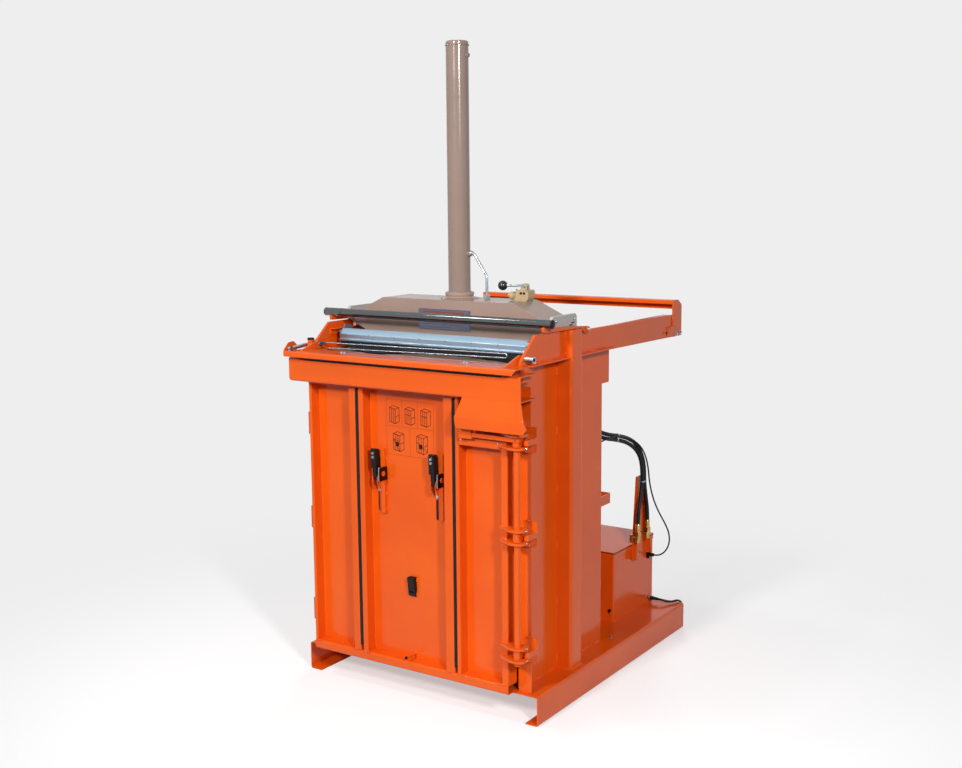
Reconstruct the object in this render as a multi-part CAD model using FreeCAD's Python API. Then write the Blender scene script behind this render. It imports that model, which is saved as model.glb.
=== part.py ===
import FreeCAD, Part
import math
import os
from FreeCAD import Vector as V

# A small vertical recycling baler, in millimetres.
# x runs to the right from the middle of the chamber, y runs back from the front of the wall
# flanges, z runs up from the floor. The finished pieces are shifted so that the origin lies
# on the floor under the middle of the machine's outer box.

# ---------------------------------------------------------------- driving dimensions
SHEET = 5.0                 # steel sheet of the frame
THIN_SHEET = 4.0            # sheet of the door, the header and the flap
BEND = 4.0                  # inner radius of a folded edge
SEAT_GAP = 0.3              # clearance between pieces that only rest near each other
RUN_GAP = 0.05              # radial clearance of a running fit

BASE_HALF = 500.0           # base skid, half width
BASE_FRONT = -16.0
BASE_REAR = 1140.0
BASE_HEIGHT = 105.0
FOOT_FLANGE = 50.0          # inward foot under each skid side

WALL_OUT = 413.0            # outer face of each side wall
WALL_DEPTH = 584.0          # back of the chamber
WALL_TOP = 1213.0
FLANGE_OUT = 465.0          # outer edge of the wall's front flange
FLANGE_TOP = 1150.0
LEDGE_OUT = 467.0           # outward ledge along the wall's top
LEDGE_FRONT = 12.0

COLUMN_OUT = 472.0
COLUMN_FRONT = 257.0
COLUMN_REAR = 336.0
COLUMN_TOP = 1309.0

PLATE_OUT = 445.0           # outer face of the side plates that carry the head
PLATE_THICK = 10.0
PLATE_FRONT = -28.0
PLATE_LEG_DROP = 51.0       # how far the plate's front leg reaches below the wall's top
PLATE_TOP = 1311.0
PLATE_SHOULDER = 66.0       # where the plate's top edge meets its slanted front edge
PLATE_LEG_BACK = 40.0       # back edge of the leg beside the header
ARM_FRONT = 395.0           # where the side plate steps down to its rear arm
ARM_TOP = 1297.0
ARM_END_TOP = 1289.0
ARM_BOTTOM = 1207.0
ARM_END_BOTTOM = 1201.0
ARM_REAR = 1107.0

RAIL_TOP = 1289.0           # running face of the inner rails
RAIL_LEG = 25.0

HEADER_FRONT = -101.0       # front header above the door
HEADER_HALF = 488.0
HEADER_LOW = 1112.0
HEADER_TOP = 1197.0
HEADER_CORNER = 12.0
REAR_HEADER_DEPTH = 54.0
REAR_HEADER_LOW = 1080.0
REAR_HEADER_TOP = 1205.0

HOOD_FRONT = -118.0         # hood over the lock lever
HOOD_DROP = 62.0            # from the header's lower edge to the hood's fold
HOOD_LIP = 37.0
HOOD_TOP_LEFT = 263.0
HOOD_LEFT = 242.0
HOOD_RIGHT = 520.0
HOOD_SHOULDER = 21.0        # how far the fold's right end stands out past the header

LOOP_FRONT = 1107.0         # hoop behind the head's parking place
LOOP_REAR = 1185.0
LOOP_LOW = 1201.0
LOOP_LEG = 124.0            # from the legs' low end to their cut corners
LOOP_CUT = 21.0             # height of the cut corners
LOOP_SHOULDER = LOOP_LOW + LOOP_LEG
LOOP_TOP = LOOP_SHOULDER + LOOP_CUT

REEL_HALF = 400.0           # strap reel holder on the rear wall
REEL_REACH = 106.0
REEL_LOW = 611.0
REEL_TALL = 37.0

DOOR_FRONT = -61.0          # front plane of the door's ribs
DOOR_BACK = -5.0
DOOR_PANEL = -16.0          # recessed panels
DOOR_LEFT = -435.0
DOOR_RIGHT = 410.0
DOOR_LOW = 108.0
DOOR_GAP = 4.0              # free height between the door and the header
DOOR_RAIL = 33.0            # height of the bottom rail
SHORT_TOP = 972.0           # top of the right-hand section's frame
SHORT_RAIL = 27.0
CAP_RAIL = 6.0
RIB_LEFT = (-251.0, -220.0)
RIB_CENTRE = (-209.0, -187.0, 156.0, 193.0)
RIB_RIGHT = (203.0, 219.0, 385.0)
EDGE_LIP = 12.0

HINGE_X = -452.0
HINGE_Y = -30.0
HINGE_RADIUS = 10.0
HINGE_PIN = 6.0
HINGE_TALL = 80.0
HINGE_HEIGHTS = (250.0, 600.0, 950.0)

LOCK_X = 458.0
LOCK_Y = -76.0
LOCK_BAR = 11.0             # radius of the lock bar
LOCK_LOW = 228.0
LOCK_TOP = 1002.0
EAR_THICK = 8.0
EAR_GAP = 35.0              # free height between a pair of ears
EAR_LOWS = (241.0, 640.0, 955.0)
HOOK_REACH = 36.0
HOOK_TOE = 16.0
HOOK_NOSE = 9.0             # depth of the toe that goes behind the keeper's lip
HOOK_CLEARANCE = 2.0        # sideways gap of the unlatched hook to its keeper
LATCH_TURN = 15.0           # turn of the lock bar that puts its toes behind the lips, in degrees
LATCH_GAP = 0.5             # gap between a toe and its lip when latched
KEEPER_LIP = 8.0
KEEPER_REACH = 27.0         # how far the keepers stand out past the wall flange
LEVER_LEFT = 234.0
LEVER_BLOCK = 52.0

FLAP_FRONT = -131.0
FLAP_HALF = 487.0
FLAP_BACK = -38.0
FLAP_CHAMFER = 16.0
FLAP_LIP_LOW = 1203.0
FLAP_LIP_TOP = 1223.0
FLAP_AXIS_Z = 1238.0
FLAP_INNER_HALF = 432.0
PIVOT_OUT = (460.0, 478.0)  # outer ends of the left and right pivot tubes
PIVOT_RADIUS = 11.0
PIVOT_BORE = 7.0

GAS_X = -474.0
GAS_TUBE = 7.5
GAS_ROD = 4.0
GAS_KNUCKLE = 6.5           # half width of the eye at the flap
GAS_ANCHOR = (200.0, 1247.0)
GAS_EYE = (-108.0, 1229.0)
STOP_REACH = 19.0           # bracket with the rubber stop beside the left plate
STOP_TOP = 1253.0

HEAD_FRONT = 187.0          # head beam
HEAD_REAR = 350.0
HEAD_TOP = 1399.0
HEAD_LOW = 1268.0
HEAD_TOP_HALF = 280.0
HEAD_TIP = 430.0
HEAD_TIP_TOP = 1330.0
HEAD_TIP_LOW = 1303.0
HEAD_LOW_HALF = 346.0
HEAD_SHEET = 6.0

CYLINDER_Y = 275.0
BARREL = 40.0
BARREL_WALL = 5.0
BARREL_LOW = 1423.0
BARREL_TOP = 2296.0
BLEED_DROP = 51.0           # bleed plug, below the barrel's top
COLLAR = 52.0
FLARE = 65.0
ROD = 22.5
PLATEN_LOW = 1206.5
PLATEN_PLATE = 6.0
PLATEN_THICK = 34.0
PLATEN_LIP = 64.0           # bare front edge of the pressing plate
PLATEN_HALF = 398.0
PLATEN_FRONT = 40.0
PLATEN_REAR = 560.0

PIPE_X = 117.0
PIPE = 5.0
PIPE_PORT = 1560.0
PIPE_BEND = 78.0            # from the port down to the bend over the upright run
VALVE_X = 259.0
VALVE_Y = 300.0
KNOB_X = 168.0
KNOB_Z = 1449.0
KNOB = 17.5

GUARD_FRONT = 88.0
GUARD_HALF = 407.0
GUARD_TOP = 1268.0          # bend between the guard's front and its sloping top
GUARD_SLOPE = 19.0          # how far the top runs up and back
GUARD_TALL = 28.0
GUARD_BEAD = 4.0

HANDLE_Y = 108.0
HANDLE_Z = 1344.0
HANDLE = 15.0
HANDLE_HALF = 482.0
HANDLE_PIVOT = (388.0, 1301.0)
HANDLE_ARM_X = 449.0
HANDLE_ARM = 10.0
HANDLE_ARM_TALL = 16.0

BOX_LEFT = -60.0            # power unit on the back of the base
BOX_RIGHT = 369.0
BOX_FRONT = 774.0
BOX_REAR = 1118.0
BOX_TOP = 387.0
LID_LIP = 22.0
MAST_LOW = 323.0
MAST_TOP = 655.0
HOSE = 7.9
HOSE_X = 401.0
FITTING_YS = (914.0, 998.0)
SIGNAL = 3.0
MAINS = 4.25
PLUG = 17.0
COIL_START = 80.0           # where the mains lead turns into its put-away coil

parts = {}


# ---------------------------------------------------------------- drawing helpers
def at(plane, u, v, w=0.0):
    """A point drawn in the plane xy, xz or yz, at w along the plane's normal."""
    return {"xy": V(u, v, w), "xz": V(u, w, v), "yz": V(w, u, v)}[plane]


def path_edges(points, radii, closed):
    """Straight runs joined by tangent arcs, with one radius for each point."""
    count = len(points)
    starts = list(points)
    ends = list(points)
    middles = [None] * count
    for i in range(count):
        if radii[i] <= 0 or (not closed and i in (0, count - 1)):
            continue
        before = (points[i - 1] - points[i]).normalize()
        after = (points[(i + 1) % count] - points[i]).normalize()
        half = before.getAngle(after) / 2
        reach = radii[i] / math.tan(half)
        starts[i] = points[i] + before * reach
        ends[i] = points[i] + after * reach
        inward = (before + after).normalize()
        middles[i] = points[i] + inward * (radii[i] / math.sin(half) - radii[i])
    edges = []
    for i in range(count):
        if middles[i] is not None:
            edges.append(Part.Arc(starts[i], middles[i], ends[i]).toShape())
        following = (i + 1) % count
        if (closed or i < count - 1) and ends[i].distanceToPoint(starts[following]) > 1e-6:
            edges.append(Part.LineSegment(ends[i], starts[following]).toShape())
    return edges


def slab(plane, outline, start, end, radii=0.0):
    """A solid of this outline, from start to end along the plane's normal."""
    points = [at(plane, u, v, start) for u, v in outline]
    if not isinstance(radii, (list, tuple)):
        radii = [radii] * len(points)
    face = Part.Face(Part.Wire(path_edges(points, radii, True)))
    return face.extrude(at(plane, 0, 0, end - start))


def folded(plane, route, thick, start, end, bend=BEND):
    """Folded sheet whose show face follows the route, with its thickness to the left of it,
    or to the right where thick is negative."""
    side = math.copysign(1.0, thick)
    heads = []
    for a, b in zip(route, route[1:]):
        length = math.hypot(b[0] - a[0], b[1] - a[1])
        heads.append(((b[0] - a[0]) / length, (b[1] - a[1]) / length))
    inner = []
    near = []
    far = []
    for i, (u, v) in enumerate(route):
        one = heads[max(i - 1, 0)]
        two = heads[min(i, len(heads) - 1)]
        share = thick / (1 + one[0] * two[0] + one[1] * two[1])
        inner.append((u - (one[1] + two[1]) * share, v + (one[0] + two[0]) * share))
        turn = (one[0] * two[1] - one[1] * two[0]) * side
        ended = i in (0, len(route) - 1) or abs(turn) < 1e-9
        near.append(0.0 if ended else (bend + abs(thick) if turn > 0 else bend))
        far.append(0.0 if ended else (bend if turn > 0 else bend + abs(thick)))
    return slab(plane, route + inner[::-1], start, end, near + far[::-1])


def box(x0, x1, y0, y1, z0, z1):
    return Part.makeBox(x1 - x0, y1 - y0, z1 - z0, V(x0, y0, z0))


def bar(start, end, radius):
    """A round bar between two points."""
    return Part.makeCylinder(radius, (end - start).Length, start, end - start)


def joined(*shapes):
    return shapes[0].fuse(list(shapes[1:])).removeSplitter()


def mirrored(shape):
    return shape.mirror(V(0, 0, 0), V(1, 0, 0))


def turned(profile, x, y):
    """A solid of revolution about the vertical line at x, y from (radius, height) points."""
    points = [V(x + r, y, z) for r, z in profile]
    face = Part.Face(Part.makePolygon(points + points[:1]))
    return face.revolve(V(x, y, 0), V(0, 0, 1), 360)


def hexagon(x, y, across, z0, z1):
    radius = across / math.sqrt(3)
    corners = [(x + radius * math.cos(math.radians(60 * k)), y + radius * math.sin(math.radians(60 * k)))
               for k in range(6)]
    return slab("xy", corners, z0, z1)


def hose(name, points, radius):
    """A hose along straight runs and the largest arcs that two neighbouring runs allow."""
    spots = [V(*p) for p in points]
    radii = [0.0] * len(spots)
    for i in range(1, len(spots) - 1):
        before = spots[i - 1] - spots[i]
        after = spots[i + 1] - spots[i]
        half_turn = (math.pi - before.getAngle(after)) / 2
        radii[i] = 0.45 * min(before.Length, after.Length) / math.tan(half_turn)
    wire = Part.Wire(path_edges(spots, radii, False))
    ring = Part.Wire(Part.makeCircle(radius, spots[0], spots[1] - spots[0]))
    tube = wire.makePipeShell([ring], True, True)
    share = tube.Volume / (math.pi * radius ** 2 * wire.Length)
    shown = ", ".join(f"{r:.0f}" for r in radii[1:-1])
    print(f"{name}: length {wire.Length:.0f}, volume share {share:.3f}, radii {shown}")
    return tube


# ---------------------------------------------------------------- frame
def make_base():
    route = [
        (FOOT_FLANGE - BASE_HALF, 0.0),
        (-BASE_HALF, 0.0),
        (-BASE_HALF, BASE_HEIGHT),
        (BASE_HALF, BASE_HEIGHT),
        (BASE_HALF, 0.0),
        (BASE_HALF - FOOT_FLANGE, 0.0),
    ]
    parts["base_skid"] = folded("xz", route, -SHEET, BASE_FRONT, BASE_REAR)


def make_walls():
    inner = WALL_OUT - SHEET
    route = [(FLANGE_OUT, 0.0), (inner, 0.0), (inner, WALL_DEPTH)]
    wall = folded("xy", route, -SHEET, BASE_HEIGHT, WALL_TOP)
    wall = wall.cut(box(WALL_OUT + BEND, FLANGE_OUT + 1, -1, SHEET + 1, FLANGE_TOP, WALL_TOP + 1))
    ledge = box(inner, LEDGE_OUT, LEDGE_FRONT, WALL_DEPTH, WALL_TOP, WALL_TOP + SHEET)
    plate_in = PLATE_OUT - PLATE_THICK
    ledge = ledge.cut(box(plate_in - SEAT_GAP, PLATE_OUT + SEAT_GAP, 0, PLATE_LEG_BACK + SEAT_GAP,
                          WALL_TOP - 1, WALL_TOP + SHEET + 1))
    ledge = ledge.cut(box(WALL_OUT, COLUMN_OUT, COLUMN_FRONT - SEAT_GAP, COLUMN_REAR + SEAT_GAP,
                          WALL_TOP - 1, WALL_TOP + SHEET + 1))
    right = joined(wall, ledge)
    parts["side_wall_right"] = right
    parts["side_wall_left"] = mirrored(right)
    parts["rear_wall"] = box(-inner, inner, WALL_DEPTH - SHEET, WALL_DEPTH, BASE_HEIGHT, REAR_HEADER_TOP)
    front = WALL_DEPTH
    back = WALL_DEPTH + REAR_HEADER_DEPTH
    route = [(front, REAR_HEADER_LOW), (back, REAR_HEADER_LOW), (back, REAR_HEADER_TOP), (front, REAR_HEADER_TOP)]
    channel = folded("yz", route, THIN_SHEET, -WALL_OUT, WALL_OUT)
    ends = [box(x, x + THIN_SHEET, front, back - 1, REAR_HEADER_LOW + 1, REAR_HEADER_TOP - 1)
            for x in (-WALL_OUT, WALL_OUT - THIN_SHEET)]
    parts["rear_header"] = joined(channel, *ends)


def make_columns():
    route = [
        (WALL_OUT, COLUMN_FRONT),
        (COLUMN_OUT, COLUMN_FRONT),
        (COLUMN_OUT, COLUMN_REAR),
        (WALL_OUT, COLUMN_REAR),
    ]
    column = folded("xy", route, SHEET, BASE_HEIGHT, COLUMN_TOP, 7.0)
    cap = box(PLATE_OUT, COLUMN_OUT - SHEET, COLUMN_FRONT + SHEET, COLUMN_REAR - SHEET,
              COLUMN_TOP - SHEET, COLUMN_TOP)
    over = box(WALL_OUT - 1, PLATE_OUT, COLUMN_FRONT - 1, COLUMN_REAR + 1,
               WALL_TOP + SHEET, COLUMN_TOP + 1)
    right = joined(column.cut(over), cap)
    parts["columns"] = Part.makeCompound([mirrored(right), right])


def make_side_plates():
    ledge_top = WALL_TOP + SHEET
    plate_foot = WALL_TOP - PLATE_LEG_DROP
    outline = [
        (PLATE_FRONT, plate_foot),
        (PLATE_LEG_BACK, plate_foot),
        (PLATE_LEG_BACK, ledge_top),
        (WALL_DEPTH, ledge_top),
        (WALL_DEPTH + 12, ARM_BOTTOM),
        (ARM_REAR, ARM_END_BOTTOM),
        (ARM_REAR, ARM_END_TOP),
        (ARM_FRONT, ARM_TOP),
        (ARM_FRONT, PLATE_TOP),
        (PLATE_SHOULDER, PLATE_TOP),
        (PLATE_FRONT, FLAP_AXIS_Z - 6),
    ]
    radii = [4, 8, 0, 0, 0, 3, 3, 0, 3, 10, 8]
    plate_in = PLATE_OUT - PLATE_THICK
    plate = slab("yz", outline, plate_in, PLATE_OUT, radii)
    plate = plate.cut(bar(V(plate_in - 1, 0, FLAP_AXIS_Z), V(PLATE_OUT + 1, 0, FLAP_AXIS_Z), PIVOT_RADIUS))
    route = [(plate_in, RAIL_TOP - RAIL_LEG), (plate_in, RAIL_TOP), (plate_in - RAIL_LEG, RAIL_TOP)]
    rail = folded("xz", route, THIN_SHEET, PLATE_SHOULDER, ARM_REAR - 10, 2.0)
    pin_y, pin_z = HANDLE_PIVOT
    outer = HANDLE_ARM_X + HANDLE_ARM
    pin = bar(V(PLATE_OUT, pin_y, pin_z), V(outer + 6, pin_y, pin_z), 6.0)
    head = bar(V(outer + SEAT_GAP, pin_y, pin_z), V(outer + 6, pin_y, pin_z), 10.0)
    right = joined(plate, rail, pin, head)
    parts["side_plate_right"] = right
    anchor = V(-PLATE_OUT, *GAS_ANCHOR)
    stud = bar(anchor, V(GAS_X - GAS_TUBE - 2, *GAS_ANCHOR), 4.0)
    washer = bar(anchor, V(GAS_X + GAS_TUBE + SEAT_GAP, *GAS_ANCHOR), 8.0)
    stop_out = -PLATE_OUT - STOP_REACH
    stop_low = STOP_TOP - 35
    bracket = slab("xz", [(stop_out, stop_low), (-PLATE_OUT, stop_low), (-PLATE_OUT, STOP_TOP), (stop_out, STOP_TOP)],
                   PLATE_FRONT + 4, PLATE_FRONT + 8, 2.0)
    foot = slab("xy", [(stop_out, PLATE_FRONT + 4), (-PLATE_OUT, PLATE_FRONT + 4), (-PLATE_OUT, PLATE_FRONT + 28),
                       (-PLATE_OUT - 5, PLATE_FRONT + 28)], STOP_TOP - 4, STOP_TOP, 0.0)
    parts["side_plate_left"] = joined(mirrored(right), stud, washer, bracket, foot)
    pad_front = PLATE_FRONT + 2
    pad_back = PLATE_FRONT + 20
    pad = [(stop_out - 1, pad_front), (-PLATE_OUT, pad_front), (-PLATE_OUT, pad_back), (stop_out - 1, pad_back)]
    parts["flap_bumper"] = slab("xy", pad, STOP_TOP, STOP_TOP + 7, 3.0)


def make_front_header():
    back = 0.0
    route = [(back, HEADER_LOW), (HEADER_FRONT, HEADER_LOW), (HEADER_FRONT, HEADER_TOP), (back, HEADER_TOP)]
    channel = folded("yz", route, -THIN_SHEET, -HEADER_HALF, HEADER_HALF)
    corner = HEADER_CORNER
    outline = [
        (-HEADER_HALF, HEADER_LOW),
        (HEADER_HALF, HEADER_LOW),
        (HEADER_HALF, HEADER_TOP),
        (-HEADER_HALF, HEADER_TOP),
    ]
    channel = channel.common(slab("xz", outline, HEADER_FRONT - 1, back + 1, [corner, 0, 2, 2]))
    for side in (-1, 1):
        near = side * PLATE_OUT + SEAT_GAP * side
        far = side * (PLATE_OUT - PLATE_THICK) - SEAT_GAP * side
        channel = channel.cut(box(min(near, far), max(near, far), PLATE_FRONT, back + 1,
                                  WALL_TOP - PLATE_LEG_DROP - 1, HEADER_TOP + 1))
    fold = HEADER_LOW - HOOD_DROP
    low = fold - HOOD_LIP
    route = [
        (HEADER_FRONT, HEADER_LOW + 12),
        (HEADER_FRONT, HEADER_LOW),
        (HOOD_FRONT, fold),
        (HOOD_FRONT, low),
    ]
    hood = folded("yz", route, THIN_SHEET, HOOD_LEFT - 10, HOOD_RIGHT + 10, 8.0)
    outline = [
        (HOOD_TOP_LEFT, HEADER_LOW + 20),
        (HOOD_TOP_LEFT, HEADER_LOW),
        (HOOD_LEFT, fold),
        (HOOD_LEFT + 4, low),
        (HOOD_RIGHT - 15, low),
        (HOOD_RIGHT, low + 20),
        (HEADER_HALF + HOOD_SHOULDER, fold),
        (HEADER_HALF, HEADER_LOW),
        (HEADER_HALF, HEADER_LOW + 20),
    ]
    radii = [0, 6, 8, 8, 8, 8, 20, 10, 0]
    hood = hood.common(slab("xz", outline, HOOD_FRONT - 10, 0, radii))
    parts["front_header"] = joined(channel, hood)


def make_closing_plate():
    inner = WALL_OUT - SHEET
    low = SHORT_TOP - 7
    outline = [
        (-inner, HEADER_LOW),
        (RIB_CENTRE[3] - 13, HEADER_LOW),
        (RIB_CENTRE[3] - 13, low),
        (inner, low),
        (inner, REAR_HEADER_TOP),
        (-inner, REAR_HEADER_TOP),
    ]
    parts["closing_plate"] = slab("xz", outline, 0.0, SHEET)


def make_rear_loop():
    cut = LOOP_CUT
    outline = [
        (LOOP_FRONT - 2, LOOP_LOW),
        (LOOP_REAR, LOOP_LOW),
        (LOOP_REAR, LOOP_SHOULDER),
        (LOOP_REAR - 1.6 * cut, LOOP_TOP),
        (LOOP_FRONT, LOOP_TOP),
    ]
    leg = slab("yz", outline, PLATE_OUT, PLATE_OUT + SHEET, [3, 3, 10, 6, 2])
    lap = slab("yz", [(ARM_REAR - 42, LOOP_LOW + 4), (LOOP_FRONT + 8, LOOP_LOW + 4),
                      (LOOP_FRONT + 8, LOOP_LOW + 40), (ARM_REAR - 42, LOOP_LOW + 40)],
               PLATE_OUT, PLATE_OUT + SHEET, 0.0)
    right = joined(leg, lap)
    front = LOOP_FRONT
    back = LOOP_REAR - 1.6 * cut
    route = [(front, LOOP_TOP - 16), (front, LOOP_TOP), (back, LOOP_TOP), (back, LOOP_TOP - 38)]
    span = folded("yz", route, -THIN_SHEET, -PLATE_OUT, PLATE_OUT, 2.0)
    parts["rear_loop"] = joined(right, mirrored(right), span)


def make_reel_bracket():
    back = WALL_DEPTH + REEL_REACH
    route = [(-REEL_HALF, WALL_DEPTH), (-REEL_HALF, back), (REEL_HALF, back), (REEL_HALF, WALL_DEPTH)]
    parts["reel_bracket"] = folded("xy", route, -SHEET, REEL_LOW, REEL_LOW + REEL_TALL, 8.0)


# ---------------------------------------------------------------- door
def make_door():
    low = DOOR_LOW + DOOR_RAIL
    top = HEADER_LOW - DOOR_GAP
    high = top - CAP_RAIL
    front = DOOR_FRONT
    back = DOOR_BACK
    panel = DOOR_PANEL
    lip = DOOR_LEFT + EDGE_LIP
    left, right = RIB_LEFT
    route = [
        (DOOR_LEFT, back),
        (DOOR_LEFT, front),
        (lip, front),
        (lip, panel),
        (left, panel),
        (left, front),
        (right, front),
        (right, back),
    ]
    parts["door_section_left"] = folded("xy", route, THIN_SHEET, low, high, 1.5)
    one, two, three, four = RIB_CENTRE
    route = [
        (one, back),
        (one, front),
        (two, front),
        (two, panel),
        (three, panel),
        (three, front),
        (four, front),
        (four, back),
    ]
    parts["door_section_centre"] = folded("xy", route, THIN_SHEET, low, high, 1.5)
    one, two, three = RIB_RIGHT
    route = [
        (one, back),
        (one, front),
        (two, front),
        (two, panel),
        (three, panel),
        (three, front),
        (DOOR_RIGHT, front),
        (DOOR_RIGHT, back),
    ]
    section = folded("xy", route, THIN_SHEET, low, high, 1.5)
    above = box(two + SEAT_GAP, DOOR_RIGHT + 1, front - 1, back + 1, SHORT_TOP - THIN_SHEET, high + 1)
    parts["door_section_right"] = section.cut(above)
    parts["door_top_rail"] = slab("xy", [(DOOR_LEFT, front), (two, front), (two, back), (DOOR_LEFT, back)],
                                  high, top, [3, 3, 0, 0])
    route = [(back, low), (front, low), (front, DOOR_LOW), (back, DOOR_LOW)]
    rail = folded("yz", route, THIN_SHEET, DOOR_LEFT, DOOR_RIGHT, 3.0)
    pin = bar(V(-7, panel, 158), V(-7, front - 9, 158), 4.0)
    parts["door_bottom_rail"] = rail
    parts["door_section_centre"] = joined(parts["door_section_centre"], pin)
    low = SHORT_TOP - SHORT_RAIL
    cap = box(two + SEAT_GAP, DOOR_RIGHT, front, back, SHORT_TOP - THIN_SHEET, SHORT_TOP)
    face = box(two + SEAT_GAP, three, front, front + THIN_SHEET, low, SHORT_TOP)
    tie = box(RIB_CENTRE[2], two + SEAT_GAP, back, back + THIN_SHEET - 1, low, SHORT_TOP)
    stay = box(two + SEAT_GAP, two + 30, back, back + THIN_SHEET - 1, low, SHORT_TOP)
    parts["door_short_rail"] = joined(cap, face, tie, stay)


def make_hinges():
    leaves = []
    knuckles = []
    third = HINGE_TALL / 3
    for z in HINGE_HEIGHTS:
        low = z - HINGE_TALL / 2
        for k, own in ((0, leaves), (1, knuckles), (2, leaves)):
            z0 = low + k * third + (SEAT_GAP if k == 1 else 0)
            z1 = low + (k + 1) * third - (SEAT_GAP if k == 1 else 0)
            barrel = bar(V(HINGE_X, HINGE_Y, z0), V(HINGE_X, HINGE_Y, z1), HINGE_RADIUS)
            if own is leaves:
                web = box(HINGE_X - 4, HINGE_X + 4, HINGE_Y, 0, z0, z1)
            else:
                web = box(HINGE_X, DOOR_LEFT, HINGE_Y - 4, HINGE_Y + 4, z0, z1)
                bore = bar(V(HINGE_X, HINGE_Y, z0 - 1), V(HINGE_X, HINGE_Y, z1 + 1), HINGE_PIN + RUN_GAP)
            piece = joined(barrel, web)
            own.append(piece if own is leaves else piece.cut(bore))
        pin = bar(V(HINGE_X, HINGE_Y, low), V(HINGE_X, HINGE_Y, low + HINGE_TALL), HINGE_PIN)
        leaves[-2:] = [joined(leaves[-2], leaves[-1], pin)]
    parts["frame_hinges"] = Part.makeCompound(leaves)
    parts["door_hinges"] = Part.makeCompound(knuckles)


def make_lock():
    ears = []
    hooks = []
    keepers = []
    ear_outline = [
        (388.0, DOOR_FRONT),
        (384.0, DOOR_FRONT - 8),
        (438.0, -97.0),
        (470.0, -99.0),
        (486.0, -82.0),
        (484.0, -44.0),
        (462.0, -42.0),
        (430.0, -50.0),
        (DOOR_RIGHT, -46.0),
        (DOOR_RIGHT, DOOR_FRONT),
    ]
    ear_radii = [0, 4, 12, 14, 12, 9, 6, 10, 0, 0]
    toe = LOCK_X + HOOK_TOE
    hook_back = LOCK_Y + HOOK_REACH
    nose = HOOK_REACH - HOOK_NOSE
    turn = math.radians(LATCH_TURN)
    latched = LOCK_Y + nose * math.cos(turn) - HOOK_TOE * math.sin(turn)
    lip_back = latched - LATCH_GAP
    lip_front = lip_back - KEEPER_LIP
    keep = toe + HOOK_CLEARANCE
    keep_in = FLANGE_OUT - 17
    keep_out = FLANGE_OUT + KEEPER_REACH
    for low in EAR_LOWS:
        mid_low = low + EAR_THICK + 2
        mid_top = low + EAR_THICK + EAR_GAP - 2
        for z in (low, low + EAR_THICK + EAR_GAP):
            ear = slab("xy", ear_outline, z, z + EAR_THICK, ear_radii)
            hole = bar(V(LOCK_X, LOCK_Y, z - 1), V(LOCK_X, LOCK_Y, z + EAR_THICK + 1), LOCK_BAR + RUN_GAP)
            ears.append(ear.cut(hole))
        outline = [
            (LOCK_X - 13, LOCK_Y - 13),
            (LOCK_X + 13, LOCK_Y - 13),
            (LOCK_X + 6, hook_back - 12),
            (toe, hook_back - HOOK_NOSE),
            (toe, hook_back),
            (LOCK_X - 7, hook_back),
        ]
        if low is EAR_LOWS[-1]:
            mid_top = mid_low + 14
        hook = slab("xy", outline, mid_low, mid_top, [8, 8, 0, 2, 2, 3])
        hooks.append(hook.cut(bar(V(LOCK_X, LOCK_Y, mid_low), V(LOCK_X, LOCK_Y, mid_top), LOCK_BAR + RUN_GAP)))
        outline = [
            (keep_in, 0.0),
            (keep_in, -8.0),
            (keep_out - 8, -8.0),
            (keep_out - 8, lip_back),
            (keep, lip_back),
            (keep, lip_front),
            (keep_out, lip_front),
            (keep_out, 0.0),
        ]
        keeper = slab("xy", outline, mid_low + 2, mid_low + 22, [0, 2, 2, 0, 1, 2, 4, 2])
        foot = box(keep_in, keep_out, -8.0, 0.0, low - 20, low + 2 * EAR_THICK + EAR_GAP + 14)
        keepers.append(joined(keeper, foot))
    parts["lock_ears"] = Part.makeCompound(ears)
    parts["lock_keepers"] = Part.makeCompound(keepers)
    shaft = bar(V(LOCK_X, LOCK_Y, LOCK_LOW), V(LOCK_X, LOCK_Y, LOCK_TOP), LOCK_BAR)
    parts["lock_bar"] = Part.makeCompound([shaft, *hooks])
    z0 = EAR_LOWS[-1] + EAR_THICK + 17
    outline = [
        (LOCK_X - 11, LOCK_Y - 11),
        (LOCK_X + 13, LOCK_Y - 11),
        (LOCK_X + 13, LOCK_Y + 11),
        (LOCK_X - 13, LOCK_Y + 11),
        (LEVER_LEFT + 10, LOCK_Y + 3),
        (LEVER_LEFT + 10, LOCK_Y - 3),
    ]
    arm = slab("xy", outline, z0, z0 + 14, [2, 6, 6, 8, 2, 2])
    grip = slab("xy", [(LEVER_LEFT, LOCK_Y - 9), (LEVER_LEFT + LEVER_BLOCK, LOCK_Y - 9),
                       (LEVER_LEFT + LEVER_BLOCK, LOCK_Y + 9), (LEVER_LEFT, LOCK_Y + 9)],
                SHORT_TOP + 2, SHORT_TOP + 33, 4.0)
    shaft_hole = bar(V(LOCK_X, LOCK_Y, z0 - 1), V(LOCK_X, LOCK_Y, z0 + 15), LOCK_BAR + RUN_GAP)
    parts["lock_lever"] = joined(arm, grip).cut(shaft_hole)


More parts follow.
